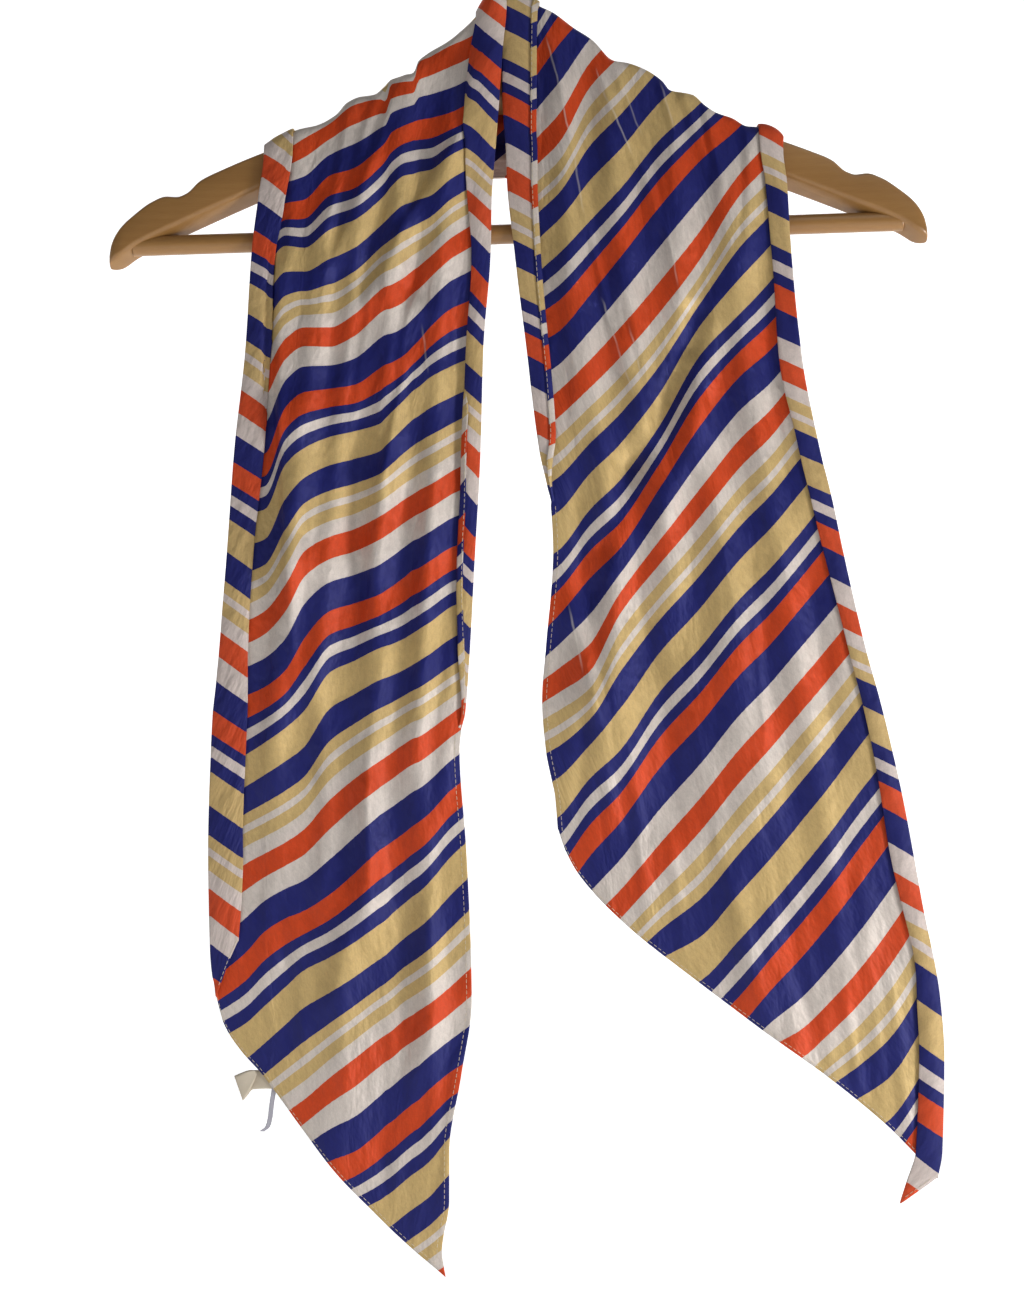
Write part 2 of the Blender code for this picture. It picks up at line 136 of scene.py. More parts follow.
print("curve check", along(table("a b", (0, 0), (1, 1), (2, 4)), "a", "b", [0.5, 1.5]))

# %% [markdown]
# ## One grid, one mesh
#
# Every surface here is a grid of points worked out with numpy. The grid could be turned into
# faces one by one, but whole arrays are quicker and easier to read: neighbouring rows and columns
# of an index array are the corners of the quads. A grid may close on itself across, along, or at
# its ends.

# %% Grid to mesh
def link(obj):
    bpy.context.scene.collection.objects.link(obj)
    return obj


def grid_object(name, points, finishes, ring=False, caps=False):
    """A mesh of quads over a grid of points in millimetres, rows down and columns to the right.

    With ring, the last column joins the first. With caps, the first and last rows are closed.
    """
    rows, columns = points.shape[:2]
    index = np.arange(rows * columns).reshape(rows, columns)
    if ring:
        index = np.concatenate([index, index[:, :1]], axis=1)
    quads = np.stack([index[:-1, :-1], index[1:, :-1], index[1:, 1:], index[:-1, 1:]], axis=-1)
    faces = quads.reshape(-1, 4).tolist()
    if caps:
        faces += [index[0, :columns].tolist(), index[-1, :columns][::-1].tolist()]
    mesh = bpy.data.meshes.new(name)
    mesh.from_pydata((points.reshape(-1, 3) * MM).tolist(), [], faces)
    mesh.shade_smooth()
    for finish in finishes:
        mesh.materials.append(finish)
    return link(bpy.data.objects.new(name, mesh))


def give_uv(obj, flat):
    """A UV map in metres from a grid of flat-cloth places in millimetres."""
    corner_vertex = np.empty(len(obj.data.loops), np.int32)
    obj.data.loops.foreach_get("vertex_index", corner_vertex)
    layer = obj.data.uv_layers.new(name="flat_cloth")
    places = flat.reshape(-1, 2)[corner_vertex] * MM
    layer.data.foreach_set("uv", places.astype(np.float32).ravel())


def give_value(obj, name, values):
    """A number at each vertex, for a material to read."""
    layer = obj.data.attributes.new(name, "FLOAT", "POINT")
    layer.data.foreach_set("value", values.astype(np.float32).ravel())


print("grid tools ready")

# %% [markdown]
# ## How the hanger leans
#
# The board hangs with its foot a little forward and its right end a little high. Everything that
# lies on it follows the plane through its middle, so the plane is one short formula.

# %% Hanger pose and sizes
LEAN = math.radians(7.0)
SWING = math.radians(1.9)
POSE = np.array(Euler((-LEAN, -SWING, 0.0), "XYZ").to_matrix())
BOARD_HALF = 7.0
BOARD_ROUNDING = 2.4
FOOT_SLANT = 4.8
BAR_RADIUS = 5.3
BAR_DROP = 196.8
BAR_HALF_LENGTH = 209.0
WIRE_RADIUS = 1.8
HOOK_INNER_RADIUS = 19.0
HOOK_SEAT_DEPTH = 17.0
SHOULDER_DROP = 110.0

BOARD_TOP = table(
    "out drop",
    (0, 75.5), (12, 76.5), (24, 85), (53.5, 108), (88.5, 129.5), (114, 140.5), (139, 149),
    (159, 157),
    (171.5, 163), (178.5, 169.5), (184, 171.5), (190, 171), (198, 174), (207, 180.5), (215, 188),
    (220, 196), (221.5, 202),
)
BOARD_FOOT = table(
    "out drop",
    (0, 122), (25, 125), (53, 133), (88, 147), (140, 168), (183, 186.5), (207, 197.5), (216, 203.5),
    (221.5, 205.5),
)


def board_plane_y(x, drop):
    """Depth of the board's middle plane at a place on the front view."""
    return math.tan(LEAN) * (-drop * math.cos(SWING) - x * math.sin(SWING))


def board_top_drop(x):
    """Drop of the board's upper edge below the origin, after its lean and swing."""
    from_middle = x - math.sin(SWING) * SHOULDER_DROP
    own = along(BOARD_TOP, "out", "drop", np.abs(from_middle)) * math.cos(LEAN)
    return own * math.cos(SWING) - from_middle * math.sin(SWING)


def posed(points):
    """Turns points from the hanger's own frame into the shared one."""
    return points @ POSE.T


print("board plane at the bar", round(float(board_plane_y(0.0, BAR_DROP)), 1), "mm")

# %% [markdown]
# ## The cloth's outline
#
# The ends hang from a ridge along the shoulders to a slanted cut. The tables below give the ridge,
# both side folds, the width of the strip that each fold turns to the front, and the cut. The side
# folds and cuts are the solid model's own, so the fine cloth lies on its form. Only at the neck
# does the right end's inner edge run up to 3.5 millimetres further in, where the left fold covers
# it. The ridge and the strips follow the photograph more finely than the solids do.
#
# A hem lies over its strip (1) or under it (-1). A fold turns to the front (1) or, as a narrow
# plain edge, slightly behind (below 0). A puff is how far a strip bulges, in millimetres.

# %% Outline tables
LAP_RADIUS = 8.8
LAP_SQUARENESS = 0.5
RIDGE_CLEARANCE = 2.8
HANG_DROP = 188.0
HANG_EASE = 12.0

RIDGE = table(
    "x drop",
    (-132, 149), (-120, 142.5), (-114, 138.4), (-102, 135.2), (-92, 129.2), (-86.7, 123.2),
    (-80, 119.7), (-71.4, 118.2), (-66, 113.8), (-62.7, 109.9), (-56, 107.9), (-50, 106.6),
    (-48, 100), (-42.7, 95.1), (-31.6, 88.2), (-23, 80.9), (-16.5, 74.3), (-11, 66.6),
    (-4, 59), (3, 57), (9, 59.5), (15.2, 66.5), (25.8, 72), (36.3, 80.2), (47, 87.5), (58.5, 99.2),
    (66, 100.5), (76, 104.4), (85, 110.8), (89.2, 116), (95.5, 117.4), (101.6, 118.6),
    (108, 124.5), (114.4, 128.7), (123, 131.8), (131, 136.5), (137, 136.8), (143, 138.7),
    (150, 143.5), (152, 149),
)
LEFT_EDGES = table(
    "drop outer inner",
    (55, -131, -2.4), (69, -131, 0.0), (95, -131, -2.0), (129, -131, -4.0), (151, -131, -5.5),
    (179, -134, -7.5), (206, -137, -8), (260, -140.5, -12), (314, -146.5, -13.5),
    (368, -150.5, -16.5), (421, -155, -19.5), (455, -158, -22), (475, -159, -24.5),
    (529, -160.5, -21), (583, -159.5, -18.5), (610, -157, -18), (650, -155, -23.5),
    (691, -154, -30), (718, -154, -30), (745, -154, -34), (762, -154, -31.5),
)
LEFT_FOLD_WIDTHS = table(
    "drop outer inner",
    (55, 15, 12), (95, 15, 16), (123, 15, 17.5), (151, 15, 16), (206, 12.5, 9.5), (260, 13.5, 8),
    (314, 15, 9), (368, 13.5, 8.5), (421, 15, 5.5), (458, 17.5, 1.0), (480, 17.5, 3.4),
    (529, 17.5, 3.4), (583, 14, 3.4), (610, 11, 3.4), (760, 12, 3.2),
)
LEFT_HEMS = table("drop outer inner", (55, -1, -1), (266, -1, -1), (294, -1, 1), (762, -1, 1))
LEFT_TURNS = table("drop outer inner", (55, 1, 1), (455, 1, 1), (467, 1, -0.4), (762, 1, -0.4))
LEFT_PUFFS = table(
    "drop outer inner",
    (55, 0.4, 0.6), (130, 1.3, 1.8), (190, 0.9, 1.2), (260, 1.4, 1.0), (330, 0.9, 1.3),
    (400, 1.5, 0.6), (470, 1.1, 0.1), (540, 1.6, 0.1), (610, 0.5, 0.1), (762, 0.5, 0.1),
)
LEFT_CUT = table(
    "x drop",
    (-156, 608.5), (-152.5, 622), (-143.5, 636.5), (-131.5, 650), (-111.5, 677), (-90, 704),
    (-64.5, 731), (-50, 744.5), (-33, 759), (-30, 762),
)
RIGHT_EDGES = table(
    "drop inner outer",
    (55, 3, 150), (62, 0.6, 150), (67, -1.2, 150), (73, -1.9, 150), (95, -2.3, 150),
    (120, -2.1, 150), (139, -1.0, 150), (151, 0, 150),
    (167, 0.5, 151.5), (206, 4.5, 153.5), (260, 11, 159), (314, 18, 169.5), (341, 23.5, 176),
    (368, 25, 181.5), (421, 21, 194), (448, 19, 201.5), (475, 21, 208), (502, 26, 214),
    (556, 29, 224), (610, 30, 234), (640, 30, 236), (691, 30, 235), (706, 30, 232.5),
    (722, 30, 231),
)
RIGHT_FOLD_WIDTHS = table(
    "drop inner outer",
    (55, 14, 12), (74, 17.6, 12), (96, 17.6, 12), (123, 17.2, 12), (140, 16, 12),
    (168, 15, 10.5), (222, 12, 9), (276, 10.5, 11),
    (303, 9, 10), (336, 1.0, 10), (356, 3.2, 9.6), (416, 3.2, 8), (470, 3.2, 9), (529, 3.2, 11.5),
    (583, 3.2, 9.3), (615, 3.2, 11.8), (690, 3.2, 13.2), (722, 3.2, 18.5),
)
RIGHT_HEMS = table("drop inner outer", (55, 1, -1), (722, 1, -1))
RIGHT_TURNS = table("drop inner outer", (55, 1, 1), (333, 1, 1), (345, -0.4, 1), (722, -0.4, 1))
RIGHT_PUFFS = table(
    "drop inner outer",
    (55, 0.5, 0.4), (120, 1.2, 0.8), (180, 0.8, 1.1), (250, 1.1, 0.6), (310, 0.6, 1.0),
    (350, 0.1, 0.8), (420, 0.1, 0.5), (500, 0.1, 1.2), (560, 0.1, 1.0), (640, 0.1, 1.7),
    (690, 0.1, 1.2), (722, 0.1, 0.2),
)
RIGHT_CUT = table(
    "x drop",
    (27.5, 516), (32, 529), (39.5, 542.5), (65, 569.5), (99, 596.5), (134.5, 623), (172, 650),
    (205, 677), (232, 703.5), (240, 709),
)


def ridge_drop(x):
    """Drop of the cloth's ridge: the drawn one, kept clear of the wood."""
    return np.minimum(along(RIDGE, "x", "drop", x), board_top_drop(x) - RIDGE_CLEARANCE)


def hang_y(x, drop):
    """Depth of the board's plane down to the bar, then easing into straight down from there."""
    reach = HANG_DROP - HANG_EASE * np.log1p(np.exp((HANG_DROP - drop) / HANG_EASE))
    return board_plane_y(x, reach)


def lap_shape(lap):
    """Share of the lap's depth and of its fall: powers of sine and cosine, a squarish corner."""
    over = np.clip(np.sin(lap), 0, 1) ** LAP_SQUARENESS
    down = 1 - np.clip(np.cos(lap), 0, 1) ** LAP_SQUARENESS
    return over, down


print("ridge at the neck", ridge_drop(np.array([-40.0, 3.0, 60.0])).round(1))

# %% [markdown]
# ## Folds and creases
#
# Satin hangs in long soft folds from the shoulder, with finer creases between them. A cloth
# simulation would make folds of its own, in other places than the photograph shows, so they are
# given in tables instead. A long fold follows the end from the shoulder to its foot. A crease
# runs from one point to another, may bow to one side, and fades at both ends. Each has a
# bell-shaped profile. The rows differ on purpose in length, depth and spacing. The last table lists
# painted highlights: thin pale lines along the crests of sharp creases, where those crests would
# catch the light. They are too fine for the grid, so they are colour only.

# %% Folds and creases
FOLD_FADE = 55.0
LEFT_FOLDS = table(
    "at foot height width first last",
    (0.30, 0.24, 5.0, 0.055, 145, 520),
    (0.45, 0.40, 4.0, 0.050, 125, 470),
    (0.60, 0.62, 6.0, 0.060, 112, 600),
    (0.80, 0.84, 5.0, 0.060, 95, 680),
    (0.50, 0.50, 4.0, 0.120, 520, 780),
)
RIGHT_FOLDS = table(
    "at foot height width first last",
    (0.20, 0.22, 4.5, 0.050, 75, 520),
    (0.38, 0.40, 5.0, 0.055, 92, 430),
    (0.60, 0.55, 4.5, 0.060, 110, 560),
    (0.80, 0.76, 4.0, 0.055, 128, 640),
    (0.16, 0.10, 5.5, 0.080, 400, 520),
    (0.55, 0.62, 4.0, 0.110, 520, 720),
)
CREASE_DEPTH, CREASE_FADE = 1.5, 0.35
CREASE_COLUMNS = "x drop to_x to_drop bow height left right"
LEFT_CREASES = table(
    CREASE_COLUMNS,
    (-50, 102, -68, 152, -3, 2.4, 3.0, 12), (-68, 148, -92, 214, 0, 2.6, 3.5, 12),
    (-17, 98, -27, 152, 2, 2.0, 3.0, 10), (-27, 148, -52, 190, 0, 2.4, 3.0, 12),
    (-50, 186, -77, 238, 0, 2.2, 3.5, 10), (-36, 198, -50, 240, 0, 2.0, 3.0, 10),
    (-50, 234, -57, 270, 0, 2.2, 3.0, 11), (-53, 266, -66, 332, 0, 2.6, 3.0, 12),
    (-64, 322, -73, 380, 0, 1.6, 4.0, 10), (-71, 222, -80, 290, 0, 1.7, 3.0, 9),
    (-122, 212, -121, 302, 0, 4.0, 2.6, 15), (-121, 288, -116, 384, 0, 4.4, 2.6, 15),
    (-116, 368, -112, 446, 0, 2.6, 4.0, 14), (-86, 123, -96, 196, 2, 1.6, 3.0, 8),
    (-66, 114, -80, 160, -2, 1.3, 2.4, 6), (-114, 140, -118, 220, 1, 1.5, 3.0, 8),
    (-101, 280, -105, 402, 0, 1.3, 4.0, 8), (-84, 322, -76, 492, 3, -1.5, 7.0, 6),
    (-38, 322, -46, 470, -2, 1.8, 5.0, 8), (-27, 235, -26, 330, 0, -1.3, 4.0, 5),
    (-96, 205, -100, 262, 0, 0.9, 1.8, 4), (-66, 196, -64, 232, 0, 0.8, 1.8, 3),
    (-30, 405, -38, 520, 2, 1.5, 5.0, 7), (-60, 400, -74, 520, -3, 1.6, 5.0, 9),
    (-104, 430, -98, 548, 3, 1.6, 5.0, 9), (-122, 488, -128, 600, 0, 1.2, 6.0, 8),
    (-70, 520, -98, 616, 4, 1.6, 6.0, 10), (-46, 540, -62, 706, -3, -1.6, 9.0, 8),
    (-42, 560, -40, 690, 1, 1.4, 4.0, 7), (-88, 560, -84, 668, -2, 1.1, 5.0, 6),
    (-116, 560, -108, 640, 1, 1.2, 4.0, 6), (-62, 610, -60, 722, 0, 1.0, 4.0, 6),
    (-26, 640, -36, 730, 0, 1.0, 3.0, 5), (-75, 480, -74, 540, 0, 0.7, 2.0, 3),
    (-4, 20, -6, 136, 0, 2.2, 9, 6),
)
RIGHT_CREASES = table(
    CREASE_COLUMNS,
    (22, 84, 35, 146, 1, 1.0, 2.2, 1.8), (34, 140, 44, 194, 0, 0.9, 2.2, 1.8),
    (48, 104, 68, 156, 0, 1.0, 2.0, 2.0), (58, 104, 76, 146, -1, 0.8, 1.8, 2.4),
    (83, 112, 92, 144, 0, 0.9, 1.8, 2.0), (96, 118, 108, 160, 0, 1.2, 2.4, 3.0),
    (108, 128, 116, 176, 0, 1.3, 2.4, 4.0), (130, 138, 128, 210, 2, 1.6, 3.0, 6.0),
    (66, 140, 82, 196, 2, 1.6, 5.0, 3.0), (85, 192, 94, 232, 0, 0.9, 1.6, 2.0),
    (50, 226, 69, 284, 0, 1.0, 1.6, 2.2), (62, 236, 75, 286, 0, -0.9, 1.6, 1.8),
    (46, 200, 55, 238, 0, 0.8, 1.6, 1.8), (32, 200, 40, 300, -2, 1.6, 5.0, 4.0),
    (101, 236, 96, 262, 1, -2.6, 5.0, 7.0), (97, 256, 64, 330, 3, -2.8, 6.0, 8.0),
    (66, 318, 52, 372, 0, -1.8, 6.0, 7.0), (114, 226, 84, 352, 4, 2.2, 7.0, 7.0),
    (138, 215, 152, 332, -3, -1.5, 6.0, 6.0), (150, 180, 158, 262, 0, 1.0, 3.0, 4.0),
    (38, 330, 43, 398, 0, -1.6, 5.0, 6.0), (33, 396, 47, 456, 2, 2.8, 6.0, 4.5),
    (47, 440, 60, 520, 0, 1.5, 5.0, 4.0), (42, 446, 38, 512, 1, -1.2, 4.0, 4.0),
    (70, 392, 92, 508, 2, -1.6, 7.0, 6.0), (118, 356, 150, 524, -3, 1.7, 8.0, 8.0),
    (160, 372, 188, 566, 2, -1.5, 7.0, 7.0), (98, 440, 132, 606, 0, 1.5, 6.0, 9.0),
    (176, 470, 204, 652, 2, 1.4, 6.0, 7.0), (66, 470, 76, 566, 0, 1.1, 3.0, 5.0),
    (120, 540, 140, 622, 0, 1.0, 4.0, 5.0), (150, 560, 170, 646, -1, -1.2, 6.0, 5.0),
    (88, 520, 96, 588, 0, 0.8, 3.0, 4.0), (206, 590, 216, 680, 0, 1.2, 4.0, 5.0),
    (132, 400, 140, 470, 0, 0.7, 2.0, 3.0), (182, 606, 190, 660, 0, 0.8, 2.4, 3.0),
)
BACK_CREASES = table(
    CREASE_COLUMNS,
    (-118, 152, -20, 150, 3, 1.6, 3.6, 3.0), (-92, 134, -16, 132, -3, 1.8, 3.4, 4.0),
    (-64, 122, -8, 112, 2, 1.3, 3.0, 2.4), (-105, 146, -50, 143, 1, -1.0, 2.4, 2.4),
    (24, 112, 70, 118, 2, 1.4, 3.0, 3.6), (18, 138, 112, 142, -3, 1.8, 3.6, 3.0),
    (34, 155, 134, 158, 2, 1.4, 3.2, 2.6), (60, 128, 100, 134, 0, -1.0, 2.2, 2.2),
    (-14, 80, 10, 96, 0, 1.0, 2.6, 2.6),
)


def fold_height(folds, across, drop):
    """How far the long folds stand forward: a bell across each fold, eased in and out along it."""
    total = np.zeros_like(across)
    for at, foot, height, width, first, last in zip(*folds.values()):
        middle = at + (foot - at) * np.clip((drop - first) / (last - first), 0, 1)
        strength = smooth((drop - first) / FOLD_FADE) * smooth((last - drop) / FOLD_FADE)
        total += height * strength * np.exp(-(((across - middle) / width) ** 2))
    return total


def crease_height(creases, x, drop):
    """Sum of the creases: a bell across each, with its own width on the left and on the right.

    The bell's middle line is a parabola of the given bow, and it fades at both ends.
    """
    total = np.zeros_like(x)
    for start_x, start, end_x, end, bow, height, left, right in zip(*creases.values()):
        run = math.hypot(end_x - start_x, end - start)
        way_x, way_down = (end_x - start_x) / run, (end - start) / run
        share = ((x - start_x) * way_x + (drop - start) * way_down) / run
        aside = (x - start_x) * way_down - (drop - start) * way_x
        aside = aside - bow * 4 * np.clip(share, 0, 1) * (1 - np.clip(share, 0, 1))
        strength = smooth(share / CREASE_FADE + 0.5) * smooth((1 - share) / CREASE_FADE + 0.5)
        width = np.where(aside < 0, left, right)
        total += CREASE_DEPTH * height * strength * np.exp(-((aside / width) ** 2))
    return total


# Painted highlights: thin pale lines along the crests of sharp creases, drawn in the face colour.
LINE_WAVER = 2.5
CREASE_HIGHLIGHT_LINES = table(
    "x drop to_x to_drop width strength",
    (21, 88, 30, 123, 0.8, 0.8), (29, 119, 35, 147, 0.8, 1.0), (36, 150, 42, 188, 0.9, 0.6),
    (48, 106, 55, 128, 0.8, 0.7), (53, 122, 69, 156, 0.8, 0.8), (62, 114, 74, 146, 0.8, 0.5),
    (83, 112, 91, 143, 0.9, 0.5), (88, 196, 93, 228, 0.8, 0.6), (51, 230, 61, 260, 0.8, 0.9),
    (59, 254, 69, 286, 0.8, 0.7), (66, 244, 74, 279, 0.8, 0.6), (33, 394, 42, 436, 0.9, 0.9),
    (-45, 244, -42, 274, 0.9, 0.5),
)

print("creases", len(LEFT_CREASES["x"]) + len(RIGHT_CREASES["x"]) + len(BACK_CREASES["x"]))

# %% [markdown]
# ## The columns of one half
#
# Each half of the scarf is one sheet, from its cut up over the shoulder to the middle of the back.
# Across it, from its outer edge to its inner edge, the sheet is the narrow turned hem, the strip
# that is folded to the front, the bend of the fold, the panel, and then the same again in the
# other order. A hem and a strip could be pieces of their own, but one sheet keeps the folds round
# and unbroken. Each column therefore has a place: how far it lies from its fold, how far it is
# lifted off the panel, and how far its bend pushes it out.

# %% Column plan
LAYER_GAP = 1.7
HEM_GAP = 0.7
HEM_WIDTH = 3.0
FOLD_INSET = 0.95
HEM_MOST_OF_STRIP = 0.7
HEM_COLUMNS, HEM_BEND_COLUMNS, BEND_COLUMNS, PANEL_COLUMNS = 4, 3, 5, 112


def edge_columns(strip_columns):
    """One folded edge from the end of its hem to its fold, as arrays for the columns.

    reach is the share of the strip's width from the fold; back is the share of the hem's width
    that the column lies back from the hem's edge. lift and push are a full fold's offsets in
    millimetres, and hem_lift and hem_push are those of the hem, counted from the strip.
    """
    hem_back = np.linspace(1, 0, HEM_COLUMNS + 1)[:-1]
    turn = np.linspace(0, math.pi, HEM_BEND_COLUMNS + 2)[1:-1]
    strip = np.linspace(1, 0, strip_columns)
    fold = np.linspace(0, math.pi, BEND_COLUMNS + 2)[1:-1]
    flat_part, bent, whole = np.zeros(HEM_COLUMNS), np.zeros(len(turn)), np.zeros(strip_columns)
    return {
        "reach": np.concatenate([flat_part + 1, bent + 1, strip, 0 * fold]),
        "back": np.concatenate([hem_back, bent, whole, 0 * fold]),
        "lift": LAYER_GAP * np.concatenate(
            [flat_part + 1, bent + 1, whole + 1, (1 + np.cos(fold)) / 2]),
        "push": LAYER_GAP / 2 * np.concatenate([flat_part, bent, whole, np.sin(fold)]),
        "hem_lift": HEM_GAP * np.concatenate(
            [flat_part + 1, (1 + np.cos(turn)) / 2, whole, 0 * fold]),
        "hem_push": HEM_GAP / 2 * np.concatenate([flat_part, np.sin(turn), whole, 0 * fold]),
    }


OUTER_EDGE = edge_columns(11)
INNER_EDGE = {name: values[::-1] for name, values in edge_columns(8).items()}
OUTER_COUNT, INNER_COUNT = len(OUTER_EDGE["reach"]), len(INNER_EDGE["reach"])
COLUMNS = OUTER_COUNT + PANEL_COLUMNS + INNER_COUNT
PANEL = slice(OUTER_COUNT, OUTER_COUNT + PANEL_COLUMNS)
OUTER = slice(0, OUTER_COUNT)
INNER = slice(OUTER_COUNT + PANEL_COLUMNS, COLUMNS)
EDGES = (("outer", OUTER_EDGE, OUTER), ("inner", INNER_EDGE, INNER))
print("columns", COLUMNS)

# %% [markdown]
# ## From the cut to the middle of the back
#
# Rows run from the ridge down to the cut in front, and from the ridge to the middle of the back
# behind. In front, a row's drop depends on the cut below it and so on its own place sideways, so
# both are found together by repeating the sum. Behind, the cloth turns towards the middle and is
# gathered there, so its rows sweep from the ridge to a short line behind the hook's stem, where
# both halves share the same points.

# %% Rows of one half
LAP_ROWS, FRONT_ROWS, BACK_LAP_ROWS, BACK_ROWS = 9, 232, 7, 38
CENTRE_X = 2.0
CENTRE_FOOT, CENTRE_NECK = 160.0, 70.0
CENTRE_STRIPS = {"outer": 13.0, "inner": 10.0}
BACK_PLEATS, BACK_PLEAT_HEIGHT = 4.5, 2.6
BACK_SAG, BACK_DEEPEST = 3.0, -0.8
FIRST_GUESS_DROP, SOLVE_STEPS = 200.0, 26


def read(half, rows, column, drop):
    """A value of one of a half's own tables at the drops given."""
    return along(half[rows], "drop", column, drop)


def hem_width(width, hem_side):
    """Width of the turned hem: full, or most of a narrow strip, and none where it swaps sides."""
    return np.abs(hem_side) * np.minimum(HEM_WIDTH, HEM_MOST_OF_STRIP * width)


def edge_reach(edge, width, hem_side=1.0):
    """Distance of an edge's columns from their fold: out to the hem's edge, then back over it."""
    return edge["reach"] * width - edge["back"] * hem_width(width, hem_side)


def edge_path(edge, width, hem_side=1.0):
    """Length of cloth from the fold to each column: over the strip, and on round the hem."""
    return edge["reach"] * width + edge["back"] * hem_width(width, hem_side)


def places_across(half, drop):
    """X of every column and of both folds at the drops given, and the outer columns' reach."""
    outer, inner = read(half, "edges", "outer", drop), read(half, "edges", "inner", drop)
    inward = np.sign(inner - outer)
    outer, inner = outer + inward * FOLD_INSET, inner - inward * FOLD_INSET
    reach = {}
    for name, edge, place in EDGES:
        width, hem_side = (read(half, rows, name, drop[:, place]) for rows in ("widths", "hems"))
        reach[name] = edge_reach(edge, width, hem_side)
    x = np.empty_like(drop)
    x[:, OUTER] = outer[:, OUTER] + inward[:, OUTER] * reach["outer"]
    x[:, INNER] = inner[:, INNER] - inward[:, INNER] * reach["inner"]
    share = np.linspace(0, 1, PANEL_COLUMNS)[None, :]
    x[:, PANEL] = outer[:, PANEL] + (inner - outer)[:, PANEL] * share
    return x, outer, inner, reach["outer"]


def front_points(half):
    """The panel's own surface under every column, in front, from the ridge to the cut."""
    row = np.arange(LAP_ROWS + FRONT_ROWS)[:, None] * np.ones((1, COLUMNS))
    over, down = lap_shape(np.minimum(row / (LAP_ROWS - 1), 1) * math.pi / 2)
    fall = np.clip((row - LAP_ROWS + 1) / FRONT_ROWS, 0, 1)
    drop = np.full(row.shape, FIRST_GUESS_DROP)
    for _ in range(SOLVE_STEPS):
        x, outer, inner, outer_reach = places_across(half, drop)
        ridge = ridge_drop(x)
        foot = along(half["cut"], "x", "drop", x)
        foot[:, OUTER] = half["strip_foot"](outer_reach)
        drop = 0.5 * drop + 0.5 * (ridge + LAP_RADIUS * down + fall * (foot - ridge - LAP_RADIUS))
    left, right = np.minimum(outer, inner), np.maximum(outer, inner)
    relief = fold_height(half["folds"], (x - left) / (right - left), drop)
    relief += crease_height(half["creases"], x, drop)
    y = hang_y(x, drop) - LAP_RADIUS * over - relief * over
    return np.stack([x, y, -drop], axis=-1)


def centre_line():
    """Drop of each column on the short line behind the stem, strips turned over as in front."""
    drop = np.empty(COLUMNS)
    drop[OUTER] = CENTRE_FOOT - edge_reach(OUTER_EDGE, CENTRE_STRIPS["outer"])
    drop[INNER] = CENTRE_NECK + edge_reach(INNER_EDGE, CENTRE_STRIPS["inner"])
    drop[PANEL] = np.linspace(CENTRE_FOOT, CENTRE_NECK, PANEL_COLUMNS)
    return drop


def back_points(front):
    """The surface behind the board: a quarter lap, then a sweep to the centre line with pleats.

    The sweep eases from the lap's end to the line. Pleats are a raised cosine across the cloth
    that grows with the sweep, and all of it stands out from the board's plane, never into it.
    """
    start_x = front[:1, :, 0]
    ridge = -front[:1, :, 2]
    lap_row = np.arange(1, BACK_LAP_ROWS)[:, None] / (BACK_LAP_ROWS - 1)
    over, down = lap_shape(lap_row * math.pi / 2)
    lap_drop = ridge + LAP_RADIUS * down
    lap_x = start_x + 0 * lap_drop
    sweep = np.arange(1, BACK_ROWS + 1)[:, None] / BACK_ROWS
    centre = centre_line()[None, :]
    x = start_x + (CENTRE_X - start_x) * sweep
    drop = ridge + LAP_RADIUS + (centre - ridge - LAP_RADIUS) * sweep
    drop = drop + BACK_SAG * np.sin(math.pi * sweep)
    along_line = (centre - CENTRE_NECK) / (CENTRE_FOOT - CENTRE_NECK)
    pleat = 0.5 - 0.5 * np.cos(2 * math.pi * BACK_PLEATS * along_line)
    creases = np.maximum(crease_height(BACK_CREASES, x, drop), BACK_DEEPEST)
    out = BACK_PLEAT_HEIGHT * pleat * smooth(sweep / 0.8) + creases * smooth((1 - sweep) / 0.15)
    x = np.concatenate([lap_x, x])
    drop = np.concatenate([lap_drop, drop])
    out = np.concatenate([LAP_RADIUS * over + 0 * lap_drop, LAP_RADIUS + out])
    return np.stack([x, board_plane_y(x, drop) + out, -drop], axis=-1)


print("rows", LAP_ROWS + FRONT_ROWS + BACK_LAP_ROWS - 1 + BACK_ROWS)

# %% [markdown]
# ## Lifting the folded layers
#
# The strips and hems lie on the panel. Their points are the panel's own points moved out along
# its normals, so they follow every fold of it and never cut in. The normal comes from the panel's
# rows and columns; a strip takes it from the panel's column at the same place.

# %% Layers
def outward_normals(points):
    """Unit normals of a grid: the cross product of its steps down and to the right."""
    normal = np.cross(np.gradient(points, axis=0), np.gradient(points, axis=1))
    return normal / np.linalg.norm(normal, axis=-1, keepdims=True)


def layer_offsets(half, edge, name, drop):
    """How far one edge's columns stand off the panel and out past their fold, row by row.

    Lift = turn * (the fold's lift + the hem's, over or under the strip) + puff * 4 s (1 - s),
    where s is the share of the way from the fold to the strip's far edge.
    """
    width, hem_side, turn, puff = (
        read(half, rows, name, drop) for rows in ("widths", "hems", "turns", "puffs"))
    share = np.clip(edge_reach(edge, width, hem_side) / width, 0, 1)
    puff = puff * 4 * share * (1 - share)
    lift = turn * (edge["lift"] + edge["hem_lift"] * hem_side) + puff
    push = np.abs(turn) * edge["push"] - edge["hem_push"] * np.abs(hem_side)
    return lift, push


